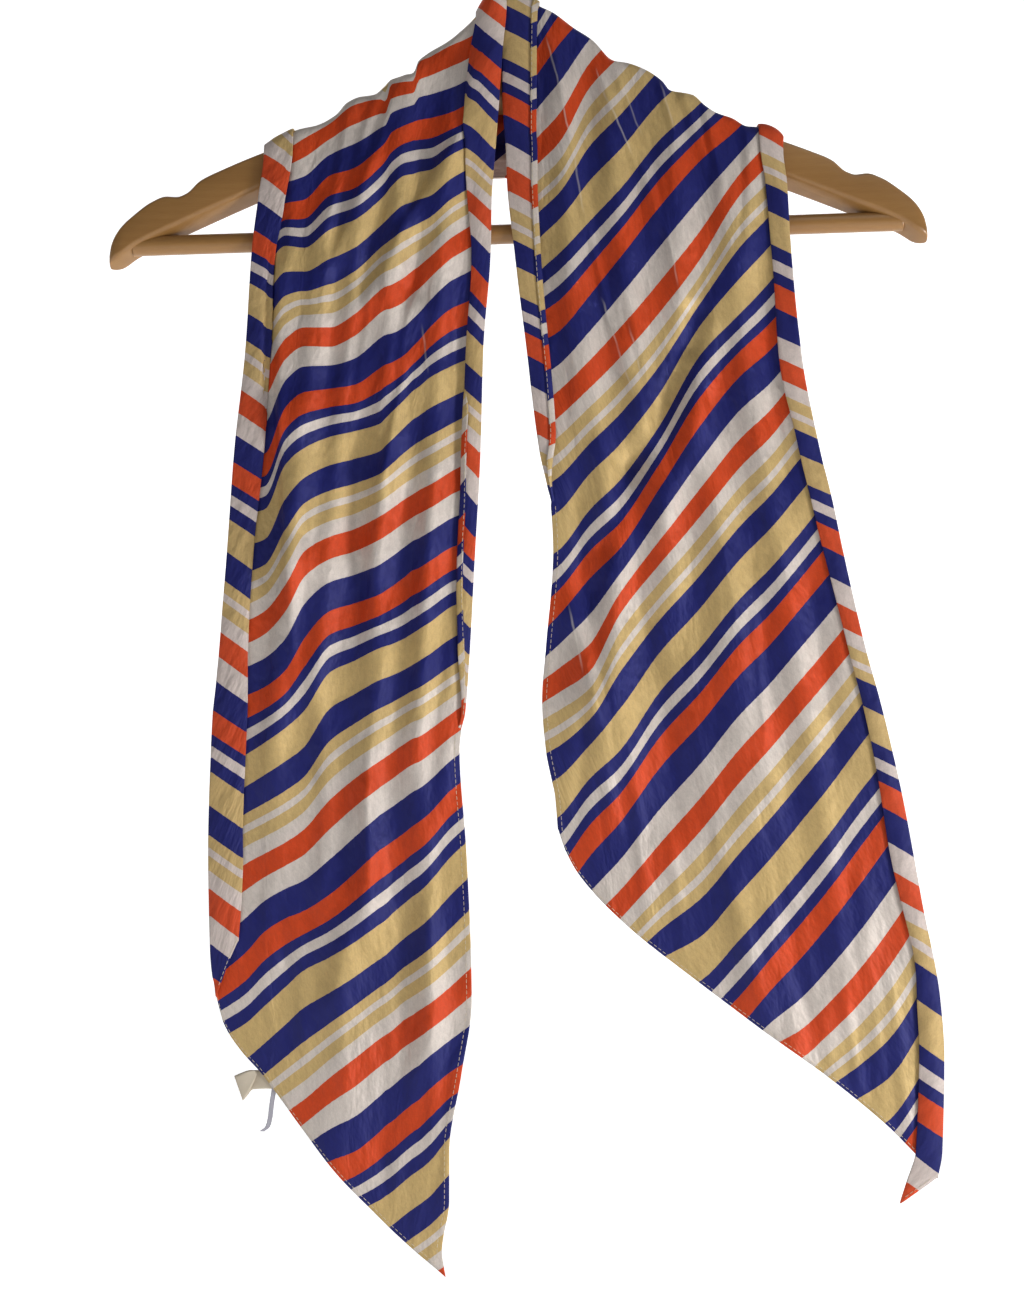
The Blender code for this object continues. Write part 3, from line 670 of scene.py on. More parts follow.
def layered(half, points):
    """Every column moved out from the panel by its lift, and the bends pushed past their folds."""
    panel = points[:, PANEL]
    drop = -points[:, :, 2]
    normal = outward_normals(panel) * half["inward"]
    across = np.gradient(panel, axis=1)
    across = across / np.linalg.norm(across, axis=-1, keepdims=True)
    step = np.linalg.norm(panel[:, 1:] - panel[:, :-1], axis=-1).mean(axis=1, keepdims=True)
    outer_far = np.linalg.norm(points[:, OUTER] - panel[:, :1], axis=-1)
    inner_far = np.linalg.norm(points[:, INNER] - panel[:, -1:], axis=-1)
    last = PANEL_COLUMNS - 1
    outer_at = np.clip(np.rint(outer_far / step), 0, last).astype(int)
    inner_at = np.clip(last - np.rint(inner_far / step), 0, last).astype(int)
    moved = points.copy()
    for (name, edge, place), at, beyond in zip(
            EDGES, (outer_at, inner_at), (-across[:, :1], across[:, -1:])):
        lift, push = layer_offsets(half, edge, name, drop[:, place])
        up = np.take_along_axis(normal, at[..., None], axis=1)
        moved[:, place] += up * lift[..., None] + beyond * push[..., None]
    return moved


print("layers", LAYER_GAP, HEM_GAP)

# %% [markdown]
# ## The stripe chart
#
# The print is one repeat of thirteen stripes, set on the slant. On flat cloth a formula would do,
# but hung cloth shears, so the stripes bend. The chart gives, for some places across each end, how
# far down three edges of every repeat are seen from the front: where the first orange (o), the
# second orange (r) and the broad gold (g) begin. Each point of the cloth looks up where it is seen
# and reads how far along the repeat it lies. Past a fold the print simply carries on, so a strip
# adds its distance from the fold times the sine of the print's slant, which is read from the
# strips in front and is the print's own slant behind.

# %% Stripe chart
STRIPES = (
    ("orange", 11.5), ("white", 11.3), ("navy", 14.8), ("orange", 11.8), ("navy", 6.0),
    ("white", 5.8), ("navy", 7.3), ("gold", 16.2), ("navy", 14.1), ("gold", 6.0),
    ("white", 3.8), ("gold", 6.6), ("white", 8.5),
)
REPEAT = sum(width for _, width in STRIPES)
STRIPE_STARTS = np.cumsum([0.0] + [width for _, width in STRIPES])[:-1]
SLANT_SINE = math.sin(math.radians(36.0))
SECOND_ORANGE, BROAD_GOLD = float(STRIPE_STARTS[3]), float(STRIPE_STARTS[7])

LEFT_CHART = table(
    "x o0 r0 g0 o1 r1 g1 o2 r2 g2 o3 r3 g3 o4 r4 g4 o5",
    (-157, 166, 208, 238, 291, 324, 354, 413, 454, 487, 550, 598, 632, 698, 742, 778, 833),
    (-141, 159, 199, 226, 280, 318, 348, 406, 446, 478, 537, 585, 623, 687, 732, 767, 822),
    (-130, 154, 190, 215, 271, 315, 345, 400, 441, 471, 531, 573, 613, 679, 723, 757, 813),
    (-119, 151, 180, 203, 253, 290, 321, 386, 432, 463, 525, 566, 603, 671, 714, 748, 805),
    (-109, 145, 178, 204, 247, 282, 312, 368, 415, 454, 518, 562, 594, 664, 705, 740, 796),
    (-95, 137, 165, 194, 247, 280, 306, 360, 400, 433, 502, 553, 587, 652, 697, 732, 788),
    (-82, 127, 161, 189, 240, 278, 303, 356, 396, 427, 491, 542, 579, 642, 692, 725, 782),
    (-68, 124, 150, 178, 227, 269, 299, 349, 391, 420, 481, 529, 569, 631, 681, 718, 775),
    (-65, 125, 147, 175, 225, 267, 296, 347, 389, 419, 479, 527, 567, 629, 678, 716, 773),
    (-62, 116, 142, 171, 224, 266, 293, 345, 387, 418, 477, 525, 564, 627, 676, 714, 772),
    (-55, 114.5, 138, 165, 220, 262, 286, 340, 382, 415, 472, 520, 558, 621, 670, 708, 768),
    (-50, 114, 136, 164, 216, 257, 281, 337, 378, 412, 469, 516, 554, 618, 666, 704, 765),
    (-47, 104, 135, 163, 214, 254, 279, 335, 377, 410, 468, 514, 552, 616, 664, 702, 763),
    (-41, 101, 134, 162, 209, 247, 274, 332, 373, 406, 464, 509, 546, 612, 658, 697, 759),
    (-30, 95, 131, 154, 199, 237, 268, 325, 366, 398, 456, 497, 533, 603, 649, 684, 752),
    (-19, 90, 125, 148, 192, 232, 263, 319, 362, 393, 448, 489, 523, 593, 642, 677, 745),
    (-3, 76, 108, 136, 181, 217, 248, 305, 350, 382, 437, 476, 510, 580, 630, 665, 734),
)
RIGHT_CHART = table(
    "x o-1 r0 o0 g1 r1 o1 g2 r2 o2 g3 r3 o3 g4 r4 o4 g5 r5",
    (1, 50, 133, 174, 241, 276, 323, 389, 431, 466, 532, 583, 629, 694, 745, 786, 853, 896),
    (18, 15, 109, 158, 217, 256, 304, 374, 413, 451, 518, 567, 613, 676, 726, 767, 834, 878),
    (29, -12, 94, 147, 207, 249, 295, 367, 402, 444, 511, 556, 602, 667, 716, 756, 826, 869),
    (45, -20, 76, 118, 190, 230, 280, 346, 383, 433, 491, 533, 583, 648, 699, 740, 810, 853),
    (62, -41, 57, 100, 172, 209, 263, 329, 366, 401, 475, 514, 566, 629, 680, 721, 791, 834),
    (83, -78, 30, 77, 146, 182, 239, 300, 334, 375, 444, 485, 543, 610, 664, 699, 772, 815),
    (105, -94, 11, 57, 126, 157, 210, 262, 300, 349, 420, 461, 519, 600, 644, 678, 752, 796),
    (126, -123, -11, 38, 103, 139, 176, 240, 274, 323, 394, 435, 493, 578, 625, 659, 732, 778),
    (143, -137, -27, 21, 84, 118, 158, 222, 259, 306, 377, 418, 474, 559, 605, 649, 720, 767),
    (159, -153, -43, 5, 68, 97, 140, 201, 240, 286, 358, 399, 455, 540, 588, 642, 706, 752),
    (175, -169, -59, -11, 51, 80, 123, 181, 221, 269, 338, 380, 436, 520, 569, 628, 692, 739),
    (191, -188, -76, -27, 35, 64, 106, 162, 202, 252, 319, 360, 416, 498, 548, 612, 684, 725),
    (207, -204, -92, -43, 19, 48, 89, 143, 185, 235, 300, 340, 394, 478, 526, 592, 675, 711),
    (229, -223, -113, -65, -3, 24, 66, 118, 161, 212, 275, 314, 368, 448, 497, 558, 643, 684),
)


def station_run(name, repeats_down):
    """Distance along the print of a charted edge: its letter's start and its number of repeats."""
    start = {"o": 0.0, "r": SECOND_ORANGE, "g": BROAD_GOLD}[name[0]]
    return start + repeats_down * int(name[1:]) * REPEAT


def seen_from_front(points):
    """Where a point's line to the camera cuts the plane of the hanging cloth."""
    nearer = CAMERA_AWAY / (points[..., 1] - CAMERA_Y)
    x = CAMERA_X + (points[..., 0] - CAMERA_X) * nearer
    drop = CAMERA_DROP + (-points[..., 2] - CAMERA_DROP) * nearer
    return x, drop


def charted_run(half, x, drop):
    """Distance along the print at a place seen from the front: a cubic through the chart."""
    names = [name for name in half["chart"] if name != "x"]
    runs = np.array([station_run(name, half["repeats_down"]) for name in names])
    drops = np.stack([along(half["chart"], "x", name, x.ravel()) for name in names])
    runs = np.broadcast_to((runs + half["first_run"])[:, None], drops.shape)
    return cubic_between(drops, runs, drop.ravel()).reshape(drop.shape)


print("repeat", round(REPEAT, 1), "mm")

# %% [markdown]
# ## Both halves
#
# The left half is charted going down and forwards along the print, the right half going down and
# backwards, because it is the other end of the same strip. At the middle of the back both read the
# same line of print, so the stripes meet there.

# %% Half definitions
LEFT_SLANTS = table("drop outer inner", (55, 0.60, 0.95), (762, 0.60, 0.95))
RIGHT_SLANTS = table(
    "drop inner outer", (55, 0.55, 0.85), (90, 0.55, 0.68), (125, 0.55, 0.5), (722, 0.55, 0.5))
HALVES = {
    "left": {
        "edges": LEFT_EDGES, "widths": LEFT_FOLD_WIDTHS, "cut": LEFT_CUT, "folds": LEFT_FOLDS,
        "creases": LEFT_CREASES, "chart": LEFT_CHART, "inward": 1, "repeats_down": 1,
        "first_run": 0.0, "strip_foot": lambda reach: 608.0 - 2.1 * reach,
        "hems": LEFT_HEMS, "turns": LEFT_TURNS, "puffs": LEFT_PUFFS,
        "slants": LEFT_SLANTS,
    },
    "right": {
        "edges": RIGHT_EDGES, "widths": RIGHT_FOLD_WIDTHS, "cut": RIGHT_CUT, "folds": RIGHT_FOLDS,
        "creases": RIGHT_CREASES, "chart": RIGHT_CHART, "inward": -1, "repeats_down": -1,
        "first_run": -REPEAT, "strip_foot": lambda reach: 705.0 + 0.77 * reach,
        "hems": RIGHT_HEMS, "turns": RIGHT_TURNS, "puffs": RIGHT_PUFFS,
        "slants": RIGHT_SLANTS,
    },
}
CENTRE_RUNS = {"outer": -114.0, "inner": -28.0}


def print_run(half, points, front_rows):
    """Distance along the print of every point of a half.

    In front it is charted at the fold, plus or minus slant * path for a strip. Behind it goes
    evenly, by length of cloth, to the values at the middle of the back.
    """
    drop = -points[:, :, 2]
    on_fold = points.copy()
    for name, edge, place in EDGES:
        on_fold[:, place, 0] = read(half, "edges", name, drop[:, place])
    run = charted_run(half, *seen_from_front(on_fold))
    centre = np.empty(COLUMNS)
    centre[PANEL] = np.linspace(CENTRE_RUNS["outer"], CENTRE_RUNS["inner"], PANEL_COLUMNS)
    for (name, edge, place), sign in zip(EDGES, (-1, 1)):
        width, hem_side, slant = (
            read(half, rows, name, drop[:, place]) for rows in ("widths", "hems", "slants"))
        run[:, place] += sign * slant * edge_path(edge, width, hem_side)
        beyond = SLANT_SINE * edge_path(edge, CENTRE_STRIPS[name])
        centre[place] = CENTRE_RUNS[name] + sign * beyond
    behind = len(points) - front_rows
    step = np.linalg.norm(np.diff(points[:behind + 1], axis=0), axis=-1)
    gone = np.cumsum(step[::-1], axis=0)[::-1]
    share = gone / np.maximum(gone[:1], 1e-6)
    run[:behind] = run[behind] + (centre - run[behind]) * share
    return run


def flat_places(points):
    """Flat-cloth coordinates: length of cloth along the middle row line, and distance across."""
    middle = points[:, COLUMNS // 2]
    step = np.linalg.norm(np.diff(middle, axis=0), axis=-1)
    length = np.concatenate([[0.0], np.cumsum(step)])
    across_step = np.linalg.norm(np.diff(points[len(points) // 2], axis=0), axis=-1)
    across = np.concatenate([[0.0], np.cumsum(across_step)])
    return np.stack(np.broadcast_arrays(across[None, :], length[:, None]), axis=-1)


def make_half(half):
    """Points, print distances and flat places of one half, first row at the middle of the back."""
    front = front_points(half)
    bare = np.concatenate([back_points(front)[::-1], front])
    return layered(half, bare), print_run(half, bare, len(front)), flat_places(bare)


GRIDS = {side: make_half(half) for side, half in HALVES.items()}
for side, (points, run, flat) in GRIDS.items():
    print(side, points.shape, "print from", run.min().round(0), "to", run.max().round(0))

# %% [markdown]
# ## Shader sums in Python
#
# A material is a small calculation at every point of a surface. Nodes can be placed one by one,
# but then the sum is hard to read. This class wraps one socket, so that plain arithmetic on it
# adds Math nodes, and any other node comes from one method.

# %% Socket class
class Wire:
    """One shader socket that takes part in Python arithmetic."""

    def __init__(self, tree, socket=None):
        self.tree = tree
        self.socket = socket

    def node(self, kind, settings=None, inputs=None, output=0):
        """Adds a node of any type: its settings first, then a value or a link for each socket."""
        made = self.tree.nodes.new("ShaderNode" + kind)
        for name, value in (settings or {}).items():
            if name == "stops":
                set_stops(made.color_ramp, value)
            elif name == "interpolation":
                made.color_ramp.interpolation = value
            else:
                setattr(made, name, value)
        for name, value in (inputs or {}).items():
            if isinstance(value, Wire):
                self.tree.links.new(value.socket, made.inputs[name])
            else:
                made.inputs[name].default_value = value
        return Wire(self.tree, made.outputs[output])

    def sum(self, operation, first, second):
        return self.node("Math", {"operation": operation}, {0: first, 1: second})

    def __add__(self, other):
        return self.sum("ADD", self, other)

    __radd__ = __add__

    def __sub__(self, other):
        return self.sum("SUBTRACT", self, other)

    def __rsub__(self, other):
        return self.sum("SUBTRACT", other, self)

    def __mul__(self, other):
        return self.sum("MULTIPLY", self, other)

    __rmul__ = __mul__

    def __truediv__(self, other):
        return self.sum("DIVIDE", self, other)

    def __mod__(self, other):
        return self.sum("FLOORED_MODULO", self, other)

    def between(self, low, high):
        """0 below low, 1 above high, and even steps between."""
        return self.node("MapRange", {}, {"Value": self, "From Min": low, "From Max": high})

    def eased(self, low, high):
        """As between, with a smooth start and end."""
        settings = {"interpolation_type": "SMOOTHSTEP"}
        return self.node("MapRange", settings, {"Value": self, "From Min": low, "From Max": high})

    def place(self):
        """Place in the shared frame, in metres."""
        return self.node("TexCoord", {}, {}, 3)

    def stretched(self, x, y, z):
        """This place with each axis multiplied by a number of its own."""
        return self.node("VectorMath", {"operation": "MULTIPLY"}, {0: self, 1: (x, y, z)})

    def noise(self, scale, detail=2.0):
        """Cloudy noise at this place."""
        return self.node("TexNoise", {}, {"Vector": self, "Scale": scale, "Detail": detail}, 0)

    def bump(self, strength, depth, under=None):
        """A normal from this height, its depth in millimetres, on top of another one if given."""
        inputs = {"Strength": strength, "Distance": depth * MM, "Height": self}
        if under is not None:
            inputs["Normal"] = under
        return self.node("Bump", {}, inputs)

    def dot(self, x, y, z):
        """Dot product of this place with a fixed direction."""
        return self.node("VectorMath", {"operation": "DOT_PRODUCT"}, {0: self, 1: (x, y, z)}, 1)

    def mixed(self, first, second, blend="MIX"):
        """Two colours mixed by this socket's value."""
        settings = {"data_type": "RGBA", "blend_type": blend}
        return self.node("Mix", settings, {0: self, 6: first, 7: second}, 2)


def set_stops(ramp, stops):
    """Gives a colour ramp the listed (place, colour) stops."""
    while len(ramp.elements) > 1:
        ramp.elements.remove(ramp.elements[-1])
    for number, (place, colour) in enumerate(stops):
        stop = ramp.elements[0] if number == 0 else ramp.elements.new(place)
        stop.position = place
        stop.color = (*colour, 1.0)


def new_material(name, **constants):
    """A material with one Principled shader; returns the material, its shader and a bare wire."""
    made = bpy.data.materials.new(name)
    made.use_nodes = True
    shader = made.node_tree.nodes["Principled BSDF"]
    for socket, value in constants.items():
        shader.inputs[socket.replace("_", " ")].default_value = value
    return made, shader, Wire(made.node_tree)


def feed(shader, socket, wire):
    wire.tree.links.new(wire.socket, shader.inputs[socket])


def linear(red, green, blue):
    """A screen colour, 0 to 255, as the linear colour that shaders use."""
    share = np.array([red, green, blue]) / 255
    low, high = share / 12.92, ((share + 0.055) / 1.055) ** 2.4
    return tuple(np.where(share <= 0.04045, low, high).tolist())


print("orange as linear", [round(value, 3) for value in linear(200, 65, 14)])

# %% [markdown]
# ## Printed satin, both sides
#
# The right side of satin is smooth long threads, so it shines in soft bands where it turns to the
# light. The shine takes the stripe's own colour, so the shader is set a quarter metallic. The wrong
# side is the same print seen through the cloth: paler, and nearly matt. Both read the print
# distance from the mesh and pick a stripe from a ramp of hard steps. Threads, slubs, dye and the
# coarse ripple are noise through the flat-cloth map, with its own scale each way.

# %% Satin materials
FACE_COLOURS = {
    "orange": linear(200, 65, 14), "white": linear(206, 195, 186),
    "navy": linear(19, 25, 102), "gold": linear(197, 168, 111),
}
REVERSE_COLOURS = {
    "orange": linear(200, 72, 34), "white": linear(202, 188, 181),
    "navy": linear(27, 31, 100), "gold": linear(193, 164, 110),
}
PRINT_WOBBLE = 0.5
RIPPLE_DEPTH = 2.7
# In the face colour, the grain and the mottle noises are painted glints and painted sheen; in the
# bump they are relief.
CLOTH_NOISES = (
    ("wobble", 260.0, 260.0, 3.0), ("slub", 2600.0, 70.0, 2.0), ("weave", 5200.0, 3400.0, 1.0),
    ("dye", 30.0, 14.0, 3.0), ("grain", 1500.0, 1100.0, 2.0), ("sheen_mottle", 430.0, 300.0, 1.0),
    ("ripple", 72.0, 44.0, 3.0),
)
# Painted highlights along the crease crests: how strongly their pale colour is mixed in, and that
# colour.
CREASE_HIGHLIGHT_MIX, CREASE_HIGHLIGHT_COLOUR = 0.4, (*linear(232, 224, 212), 1)
LINES_FROM_Y, LINES_FULL_Y = -12.0, -16.0


def painted_crease_highlights(wire):
    """Strength of the painted crease highlights: each is 1 on a line across the front view and
    fades beside it.

    The line's ends are charted as they are seen, so they are first carried to the cloth's depth.
    """
    place = wire.place()
    waver = wire.node("TexNoise", {}, {"Vector": place, "Scale": 75.0, "Detail": 1.0}, 1)
    waver = wire.node("VectorMath", {"operation": "SUBTRACT"}, {0: waver, 1: (0.5, 0.5, 0.5)})
    waver = wire.node("VectorMath", {"operation": "SCALE"}, {0: waver, "Scale": LINE_WAVER * MM})
    place = wire.node("VectorMath", {"operation": "ADD"}, {0: place, 1: waver})
    total = 0.0
    for start_x, start, end_x, end, width, strength in zip(*CREASE_HIGHLIGHT_LINES.values()):
        ends = []
        for x, drop in ((start_x, start), (end_x, end)):
            further = (hang_y(x, drop) - LAP_RADIUS - CAMERA_Y) / CAMERA_AWAY
            seen_x, seen_drop = x - CAMERA_X, drop - CAMERA_DROP
            ends.append((CAMERA_X + seen_x * further, CAMERA_DROP + seen_drop * further))
        (from_x, from_drop), (to_x, to_drop) = ends
        run = math.hypot(to_x - from_x, to_drop - from_drop)
        way_x, way_z = (to_x - from_x) / run, -(to_drop - from_drop) / run
        ahead = place.dot(way_x, 0.0, way_z) - (from_x * way_x - from_drop * way_z) * MM
        aside = place.dot(-way_z, 0.0, way_x) - (-from_x * way_z - from_drop * way_x) * MM
        bell = aside.sum("ABSOLUTE", aside, 0.0).eased(width * MM, 0.0)
        past_middle = ahead - run / 2 * MM
        fade = past_middle.sum("ABSOLUTE", past_middle, 0.0).eased(run / 2 * MM, run / 5 * MM)
        total = bell.node(
            "Math", {"operation": "MULTIPLY_ADD"}, {0: bell * fade, 1: strength, 2: total})
    return total * place.dot(0.0, 1.0, 0.0).between(LINES_FROM_Y * MM, LINES_FULL_Y * MM)


def satin(name, colours, roughness, thread_depth, metallic, shine, painted_highlights=False):
    """Stripes from the print distance, with threads, slubs, a soft unevenness of the dye and
    painted glints.

    The stripes are multiplied by 0.74 plus a share of the dye, slub, grain and mottle noises.
    """
    made, shader, wire = new_material(
        name, Roughness=roughness, Specular_IOR_Level=shine, Metallic=metallic)
    cloth = wire.node("UVMap", {"uv_map": "flat_cloth"})
    noise = {kind: cloth.stretched(across, down, 1.0).noise(1.0, detail)
             for kind, across, down, detail in CLOTH_NOISES}
    distance = wire.node("Attribute", {"attribute_name": "print_run"}, {}, 2)
    distance = (distance + (noise["wobble"] - 0.5) * PRINT_WOBBLE) % REPEAT
    stops = [(start / REPEAT, colours[stripe])
             for start, (stripe, _) in zip(STRIPE_STARTS, STRIPES)]
    stripes = wire.node("ValToRGB", {"interpolation": "CONSTANT", "stops": stops},
                        {0: distance / REPEAT})
    shade = noise["dye"].between(0.25, 0.75) * 0.14
    # Of these shares, the fine grain and the mottle are painted glints and painted sheen: brighter
    # specks and patches that stand in for the satin's shine.
    for kind, share in (("slub", 0.08), ("grain", 0.13), ("sheen_mottle", 0.1)):
        shade = shade + noise[kind].between(0.3, 0.7) * share
    shade = shade + 0.74
    shade = wire.node("CombineColor", {}, {0: shade, 1: shade, 2: shade})
    mix = {"data_type": "RGBA", "blend_type": "MULTIPLY"}
    colour = wire.node("Mix", mix, {0: 1.0, 6: stripes, 7: shade}, 2)
    # Painted highlights: pale lines along the sharp crease crests, mixed into the colour.
    if painted_highlights:
        colour = (painted_crease_highlights(wire) * CREASE_HIGHLIGHT_MIX).mixed(colour, CREASE_HIGHLIGHT_COLOUR)
    feed(shader, "Base Color", colour)
    uneven = noise["dye"].between(0.2, 0.8) * 0.12 + noise["slub"] * 0.08
    feed(shader, "Roughness", uneven + (roughness - 0.1))
    height = noise["slub"] * 0.4 + noise["weave"] * 0.2 + noise["grain"] * 0.4
    height = height + noise["sheen_mottle"] * 1.6
    feed(shader, "Normal", height.bump(0.6, thread_depth, noise["ripple"].bump(1.0, RIPPLE_DEPTH)))
    return made


# Only the face gets the painted crease highlights.
satin_face = satin("satin_face", FACE_COLOURS, 0.6, 0.12, 0.25, 0.38, painted_highlights=True)
satin_reverse = satin("satin_reverse", REVERSE_COLOURS, 0.62, 0.12, 0.12, 0.25)
print("stripes in the ramp", len(STRIPES))

# %% [markdown]
# ## Hanging the two sheets
#
# Each grid becomes a mesh with a thin wall. Solidify gives the far side the second material, so
# the wrong side of the cloth shows wherever the sheet is folded over.

# %% Cloth pieces
CLOTH_THICKNESS = 0.4


def cloth_sheet(name, points, run, flat, inward):
    """A thin-walled mesh of one half, its columns put from left to right so that it faces out."""
    sheet = grid_object(name, points[:, ::inward], (satin_face, satin_reverse))
    give_uv(sheet, flat[:, ::inward])
    give_value(sheet, "print_run", run[:, ::inward])
    wall = sheet.modifiers.new("wall", "SOLIDIFY")
    wall.thickness = CLOTH_THICKNESS * MM
    wall.offset = 0.0
    wall.material_offset = 1
    wall.material_offset_rim = 1
    return sheet


def grid_area(points):
    """Area of a grid in square metres: half the cross product of each quad's diagonals."""
    one = points[1:, 1:] - points[:-1, :-1]
    other = points[1:, :-1] - points[:-1, 1:]
    return float(np.linalg.norm(np.cross(one, other), axis=-1).sum() / 2 * MM * MM)


halves = {}
for side, (points, run, flat) in GRIDS.items():
    halves[side] = cloth_sheet(f"scarf_{side}_half", points, run, flat, HALVES[side]["inward"])
    print(side, "area", round(grid_area(points), 4), "m2, length", round(flat[..., 1].max()), "mm")

# %% [markdown]
# ## The sewing
#
# The long edges are turned in narrow hems, and they and both cuts are stitched in cream thread. The
# stitches are far too many to place singly, so their line is read from the cloth's own grid, walked
# at even steps, and one small lozenge is copied to every step as arrays.

# %% Stitches
STITCH_LENGTH, STITCH_STEP, STITCH_RADIUS, STITCH_SIDES = 2.1, 3.0, 0.17, 6
STITCH_LIFT = CLOTH_THICKNESS / 2 + 0.06


def line_at(points, normals, rows, columns):
    """Points and normals along a line through the grid at fractional rows and columns."""
    rows, columns = np.broadcast_arrays(rows, columns)
    top, left = np.floor(rows).astype(int), np.floor(columns).astype(int)
    down, over = (rows - top)[:, None], (columns - left)[:, None]
    def pick(field):
        upper = field[top, left] * (1 - over) + field[top, left + 1] * over
        lower = field[top + 1, left] * (1 - over) + field[top + 1, left + 1] * over
        return upper * (1 - down) + lower * down
    return pick(points), pick(normals)


def walk(line, normal, side):
    """Even steps along a line: places, directions and normals, from its summed length."""
    step = np.linalg.norm(np.diff(line, axis=0), axis=-1)
    gone = np.concatenate([[0.0], np.cumsum(step)])
    at = np.arange(STITCH_STEP, gone[-1] - STITCH_STEP, STITCH_STEP)
    along_line = lambda field: np.stack([np.interp(at, gone, axis) for axis in field.T], -1)
    place, up = along_line(line), along_line(normal) * side
    ahead = along_line(np.gradient(line, axis=0))
    ahead /= np.linalg.norm(ahead, axis=-1, keepdims=True)
    up -= ahead * (up * ahead).sum(axis=-1, keepdims=True)
    up /= np.linalg.norm(up, axis=-1, keepdims=True)
    return place + up * STITCH_LIFT, ahead, up


def stitch_mesh(name, walks, finish):
    """One joined mesh: five rings of six points for each stitch, narrow at both ends."""
    place, ahead, up = (np.concatenate(parts) for parts in zip(*walks))
    beside = np.cross(ahead, up)
    ring_at = np.array([-0.5, -0.38, 0.0, 0.38, 0.5]) * STITCH_LENGTH
    ring_size = np.array([0.3, 0.85, 1.0, 0.85, 0.3]) * STITCH_RADIUS
    turn = np.arange(STITCH_SIDES) / STITCH_SIDES * 2 * math.pi
    spread = beside[:, None, None] * np.cos(turn)[None, None, :, None]
    spread = spread + up[:, None, None] * np.sin(turn)[None, None, :, None]
    rings = place[:, None, None] + ahead[:, None, None] * ring_at[None, :, None, None]
    rings = rings + spread * ring_size[None, :, None, None]
    count = len(place)
    index = np.arange(rings[..., 0].size).reshape(rings.shape[:-1])
    after = np.roll(index, -1, axis=2)
    sides = np.stack([index[:, :-1], index[:, 1:], after[:, 1:], after[:, :-1]], -1).reshape(-1, 4)
    first, last = index[:, 0, ::-1], index[:, -1]
    mesh = bpy.data.meshes.new(name)
    faces = sides[:, ::-1].tolist() + first[:, ::-1].tolist() + last[:, ::-1].tolist()
    mesh.from_pydata((rings.reshape(-1, 3) * MM).tolist(), [], faces)
    mesh.shade_smooth()
    mesh.materials.append(finish)
    return link(bpy.data.objects.new(name, mesh)), count


thread, thread_shader, thread_wire = new_material("cream_thread", Roughness=0.6, Sheen_Weight=0.2)
thread_dark, thread_light = (*linear(176, 162, 134), 1), (*linear(218, 206, 182), 1)
feed(thread_shader, "Base Color",
     thread_wire.place().noise(2500.0).mixed(thread_dark, thread_light))

HEM_STITCH_COLUMN = 0.9
EDGE_STITCH_INSET = 2.3
CUT_STITCH_ROWS = 0.9


def half_stitches(half, points):
    """Lines of stitches on one half: over its hems, beside its plain edges and across its ends."""
    normals = outward_normals(points) * half["inward"]
    rows = np.arange(len(points) - 1)
    panel_columns = np.arange(PANEL.start, PANEL.stop - 1).astype(float)
    walks = []
    for name, first, sign in (("outer", 0, 1), ("inner", COLUMNS - 1, -1)):
        drop = -points[rows, first, 2]
        turn = read(half, "turns", name, drop)
        over = read(half, "hems", name, drop) * turn
        hem_rows = rows[(over > 0.5) | (rows < BACK_ROWS)]
        if over.max() > 0.5:
            column = first + sign * HEM_STITCH_COLUMN
            walks.append(walk(*line_at(points, normals, hem_rows, column), 1))
        plain_rows = rows[(turn < 0) & (rows > BACK_ROWS)]
        if len(plain_rows):
            fold = PANEL.start if sign > 0 else PANEL.stop - 1
            across = points[plain_rows, PANEL.stop - 1, 0] - points[plain_rows, PANEL.start, 0]
            column = fold + sign * EDGE_STITCH_INSET * (PANEL_COLUMNS - 1) / np.abs(across)
            walks.append(walk(*line_at(points, normals, plain_rows, column), 1))
    cut_row = len(points) - 1 - CUT_STITCH_ROWS
    strip_columns = np.arange(HEM_COLUMNS + HEM_BEND_COLUMNS, OUTER_COUNT - BEND_COLUMNS) + 0.0
    for columns, sign in ((panel_columns, 1), (panel_columns, -1), (strip_columns, -1)):
        walks.append(walk(*line_at(points, normals, cut_row, columns), sign))
    return walks


stitches = {}
for side, (points, _, _) in GRIDS.items():
    walks = half_stitches(HALVES[side], points)
    stitches[side], stitch_count = stitch_mesh(f"hem_stitches_{side}", walks, thread)
    print(side, "stitches", stitch_count)

# %% [markdown]
# ## The wooden hanger
#
# The board is one piece of pale wood with a clear satin lacquer. Its outline is two smooth curves,
# its long edges are eased by hand, and its underside is planed on a slant. It is made as a rounded
# section carried out along the arms: at each station, four corner arcs fit between the upper and
# the lower outline.

# %% Board
STATION_STEP = 1.5
CORNER_POINTS = 6
TIP_LENGTH = 9.0
TIP_HALF_DEPTH = 2.5


